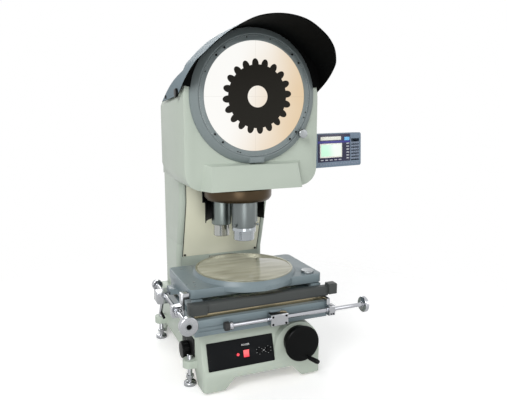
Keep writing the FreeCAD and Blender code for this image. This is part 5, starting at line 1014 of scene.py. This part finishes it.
# %% Bezel, display and keys
bezel = readout_panel("readout_bezel", [(-97, 57, -43, 59, -0.3, 4)], bezel_blue.material, 0.0008)
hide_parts("readout_face")
readout_panel("display_frame", [(-87, 17, -27, 25, -0.6, 1)], nameplate_white, 0.0004)
readout_panel("display_window", [(-82, 11, -22, 20, -0.9, 1)], display_glow.material, 0.0003)
readout_panel("name_strip", [(-84, 12, 37, 50, -0.6, 1)], nameplate_white, 0.0006)
readout_panel("light_blue_key", [(28, 53, 34, 47, -1.2, 1)], soft_blue, 0.0008)
side_keys = [(38, 51, 21 - 11 * row, 25 - 11 * row, -1.2, 1) for row in range(6)]
low_keys = [(-84 + 21 * column, -71 + 21 * column, -37.5, -34, -1.2, 1) for column in range(5)]
readout_panel("soft_keys", side_keys + low_keys, key_pale, 0.0004)
pad = [(62 + 10 * column, 70 + 10 * column, 20 - 11.5 * row, 28 - 11.5 * row, -1.2, 1)
       for row in range(6) for column in range(4)]
readout_panel("number_keys", pad, key_grey, 0.0008)
bottom_pad = [(-88 + 13.5 * column, -78 + 13.5 * column, -55, -48, -1.0, 1) for column in range(14)]
readout_panel("function_keys", bottom_pad, key_grey, 0.0008)
print("keys on the readout:", len(side_keys) + len(low_keys) + len(pad) + len(bottom_pad) + 1)

# %% [markdown]
# ## Lettering
# The only word is POWER above the mains switch. Each of the two dials has six marks, with a short
# dash between them. The text is made a mesh first, and then its place is applied to the mesh.

# %% Painted word and dial marks
LETTER_DEPTH = 0.00008


def lettering(name, words, height, place, material, body):
    curve = bpy.data.curves.new(name, "FONT")
    curve.body = words
    curve.size = height
    curve.align_x = "CENTER"
    curve.align_y = "CENTER"
    curve.extrude = LETTER_DEPTH
    curve.resolution_u = 3
    holder = put_in_scene(name + "_curve", curve)
    graph = bpy.context.evaluated_depsgraph_get()
    mesh = bpy.data.meshes.new_from_object(holder.evaluated_get(graph))
    bpy.data.objects.remove(holder)
    mesh.transform(place @ Matrix.Rotation(math.radians(90), 4, "X"))
    mesh.materials.clear()
    mesh.materials.append(material)
    piece = put_in_scene(name, mesh)
    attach(piece, body)
    return piece


LEAN = math.radians(-17.4)
PANEL_PLACE = (Matrix.Translation((0, -0.185, 0.065)) @ Matrix.Rotation(LEAN, 4, "X")
               @ Matrix.Translation((0, -0.0016, 0)))
word_place = PANEL_PLACE @ Matrix.Translation((-0.060, 0, 0.0835))
lettering("power_word", "POWER", 0.0085, word_place, white_paint, "frame")
DIAL_CENTRES = (-0.012, 0.020)
DIAL_HEIGHT = 0.055
panel_marks = bmesh.new()
for centre in DIAL_CENTRES:
    for step in range(6):
        mark_turn = Matrix.Rotation(math.radians(60 * step + 30), 4, "Y")
        turn = Matrix.Translation((centre, 0, DIAL_HEIGHT)) @ mark_turn
        add_box(panel_marks, (0.0104, -0.0002, -0.0006), (0.0118, 0.0002, 0.0006), PANEL_PLACE @ turn)
add_box(panel_marks, (0.001, -0.0002, 0.0543), (0.007, 0.0002, 0.0557), PANEL_PLACE)
finished("panel_marks", panel_marks, white_paint, "frame")
print("panel lettering placed")

# %% [markdown]
# ## Light, floor and background
# A product shot on white: a pale floor that keeps a soft shadow, an even bright sky, and four soft
# lamps. The floor fades out with distance, so that its edge doesn't show.

# %% Floor
FLOOR_RADIUS = 9.0
FADE_RADIUS, FADE_SOFT = 1.15, 0.55
FLOOR_GLOW = 0.30


def pale_floor():
    shape = bmesh.new()
    bmesh.ops.create_circle(shape, cap_ends=True, segments=96, radius=FLOOR_RADIUS)
    mesh = bpy.data.meshes.new("floor")
    shape.to_mesh(mesh)
    shape.free()
    finish = Finish("pale floor", (0.93, 0.93, 0.93), 0.9)
    x, y = finish.axes()[:2]
    far = ((x * x + y * y) ** 0.5).above(FADE_RADIUS, FADE_SOFT)
    seen = finish.node("ShaderNodeLightPath", {}, {}, "Is Camera Ray")
    white = {"Color": (1, 1, 1, 1), "Strength": seen * FLOOR_GLOW}
    glow = finish.node("ShaderNodeEmission", {}, white)
    both = finish.node("ShaderNodeAddShader", {}, {1: glow})
    finish.tree.links.new(finish.shader.outputs[0], both.socket.node.inputs[0])
    clear = finish.node("ShaderNodeBsdfTransparent", {}, {}, "BSDF")
    faded = finish.node("ShaderNodeMixShader", {}, {"Fac": far, 1: both, 2: clear}, "Shader")
    finish.tree.links.new(faded.socket, finish.tree.nodes["Material Output"].inputs["Surface"])
    mesh.materials.append(finish.material)
    put_in_scene("floor", mesh)


pale_floor()
print("floor laid")

# %% Sky and lamps
def sky(level):
    world = bpy.data.worlds.new("studio")
    world.use_nodes = True
    tree = world.node_tree
    tree.nodes.clear()
    path = tree.nodes.new("ShaderNodeLightPath")
    shown = tree.nodes.new("ShaderNodeMath")
    shown.operation = "MAXIMUM"
    glossy = tree.nodes.new("ShaderNodeMath")
    glossy.operation = "MAXIMUM"
    tree.links.new(path.outputs["Is Glossy Ray"], glossy.inputs[0])
    tree.links.new(path.outputs["Is Transmission Ray"], glossy.inputs[1])
    tree.links.new(path.outputs["Is Camera Ray"], shown.inputs[0])
    tree.links.new(glossy.outputs[0], shown.inputs[1])
    strength = tree.nodes.new("ShaderNodeMapRange")
    strength.inputs["To Min"].default_value = level
    tree.links.new(shown.outputs[0], strength.inputs["Value"])
    background = tree.nodes.new("ShaderNodeBackground")
    background.inputs["Color"].default_value = (1, 1, 1, 1)
    output = tree.nodes.new("ShaderNodeOutputWorld")
    tree.links.new(strength.outputs[0], background.inputs["Strength"])
    tree.links.new(background.outputs[0], output.inputs["Surface"])
    bpy.context.scene.world = world


def soft_lamp(name, place, target, size, power):
    data = bpy.data.lights.new(name, "AREA")
    data.shape = "DISK"
    data.size = size
    data.energy = power
    lamp = put_in_scene(name, data)
    lamp.location = place
    lamp.rotation_euler = (Vector(target) - Vector(place)).to_track_quat("-Z", "Y").to_euler()


sky(0.44)
soft_lamp("key", (-2.6, -2.4, 3.0), (0, 0, 0.6), 2.2, 95)
soft_lamp("fill", (2.8, -2.6, 1.8), (0, 0, 0.6), 2.4, 22)
soft_lamp("low", (-0.9, -3.0, 0.35), (0, 0.2, 0.4), 1.6, 18)
soft_lamp("back", (0.5, 3.4, 2.6), (0, 0, 0.7), 2.4, 45)
print("lamps:", [lamp.name for lamp in bpy.data.lights])

# %% [markdown]
# ## Camera
# The camera stands in front, to the left and a little above the stage, and looks slightly down.

# %% Camera
CAMERA_PLACE = Vector((-0.70406, -1.78500, 0.95019))
CAMERA_TURN = math.radians(-22.5466)
CAMERA_DIP = math.radians(10.1548)
SENSOR_WIDTH = 36.0
FOCAL_PIXELS, PICTURE_WIDTH = 555.111, 507
back = Vector((math.sin(CAMERA_TURN) * math.cos(CAMERA_DIP),
               -math.cos(CAMERA_TURN) * math.cos(CAMERA_DIP),
               math.sin(CAMERA_DIP)))
right = Vector((math.cos(CAMERA_TURN), math.sin(CAMERA_TURN), 0))
up = back.cross(right)
camera_data = bpy.data.cameras.new("camera")
camera_data.sensor_fit = "HORIZONTAL"
camera_data.sensor_width = SENSOR_WIDTH
camera_data.lens = SENSOR_WIDTH * FOCAL_PIXELS / PICTURE_WIDTH
camera = put_in_scene("camera", camera_data)
camera.matrix_world = Matrix.Translation(CAMERA_PLACE) @ Matrix((right, up, back)).transposed().to_4x4()
bpy.context.scene.camera = camera
bpy.context.scene.view_settings.view_transform = "Standard"
print("camera lens", round(camera_data.lens, 2), "mm")
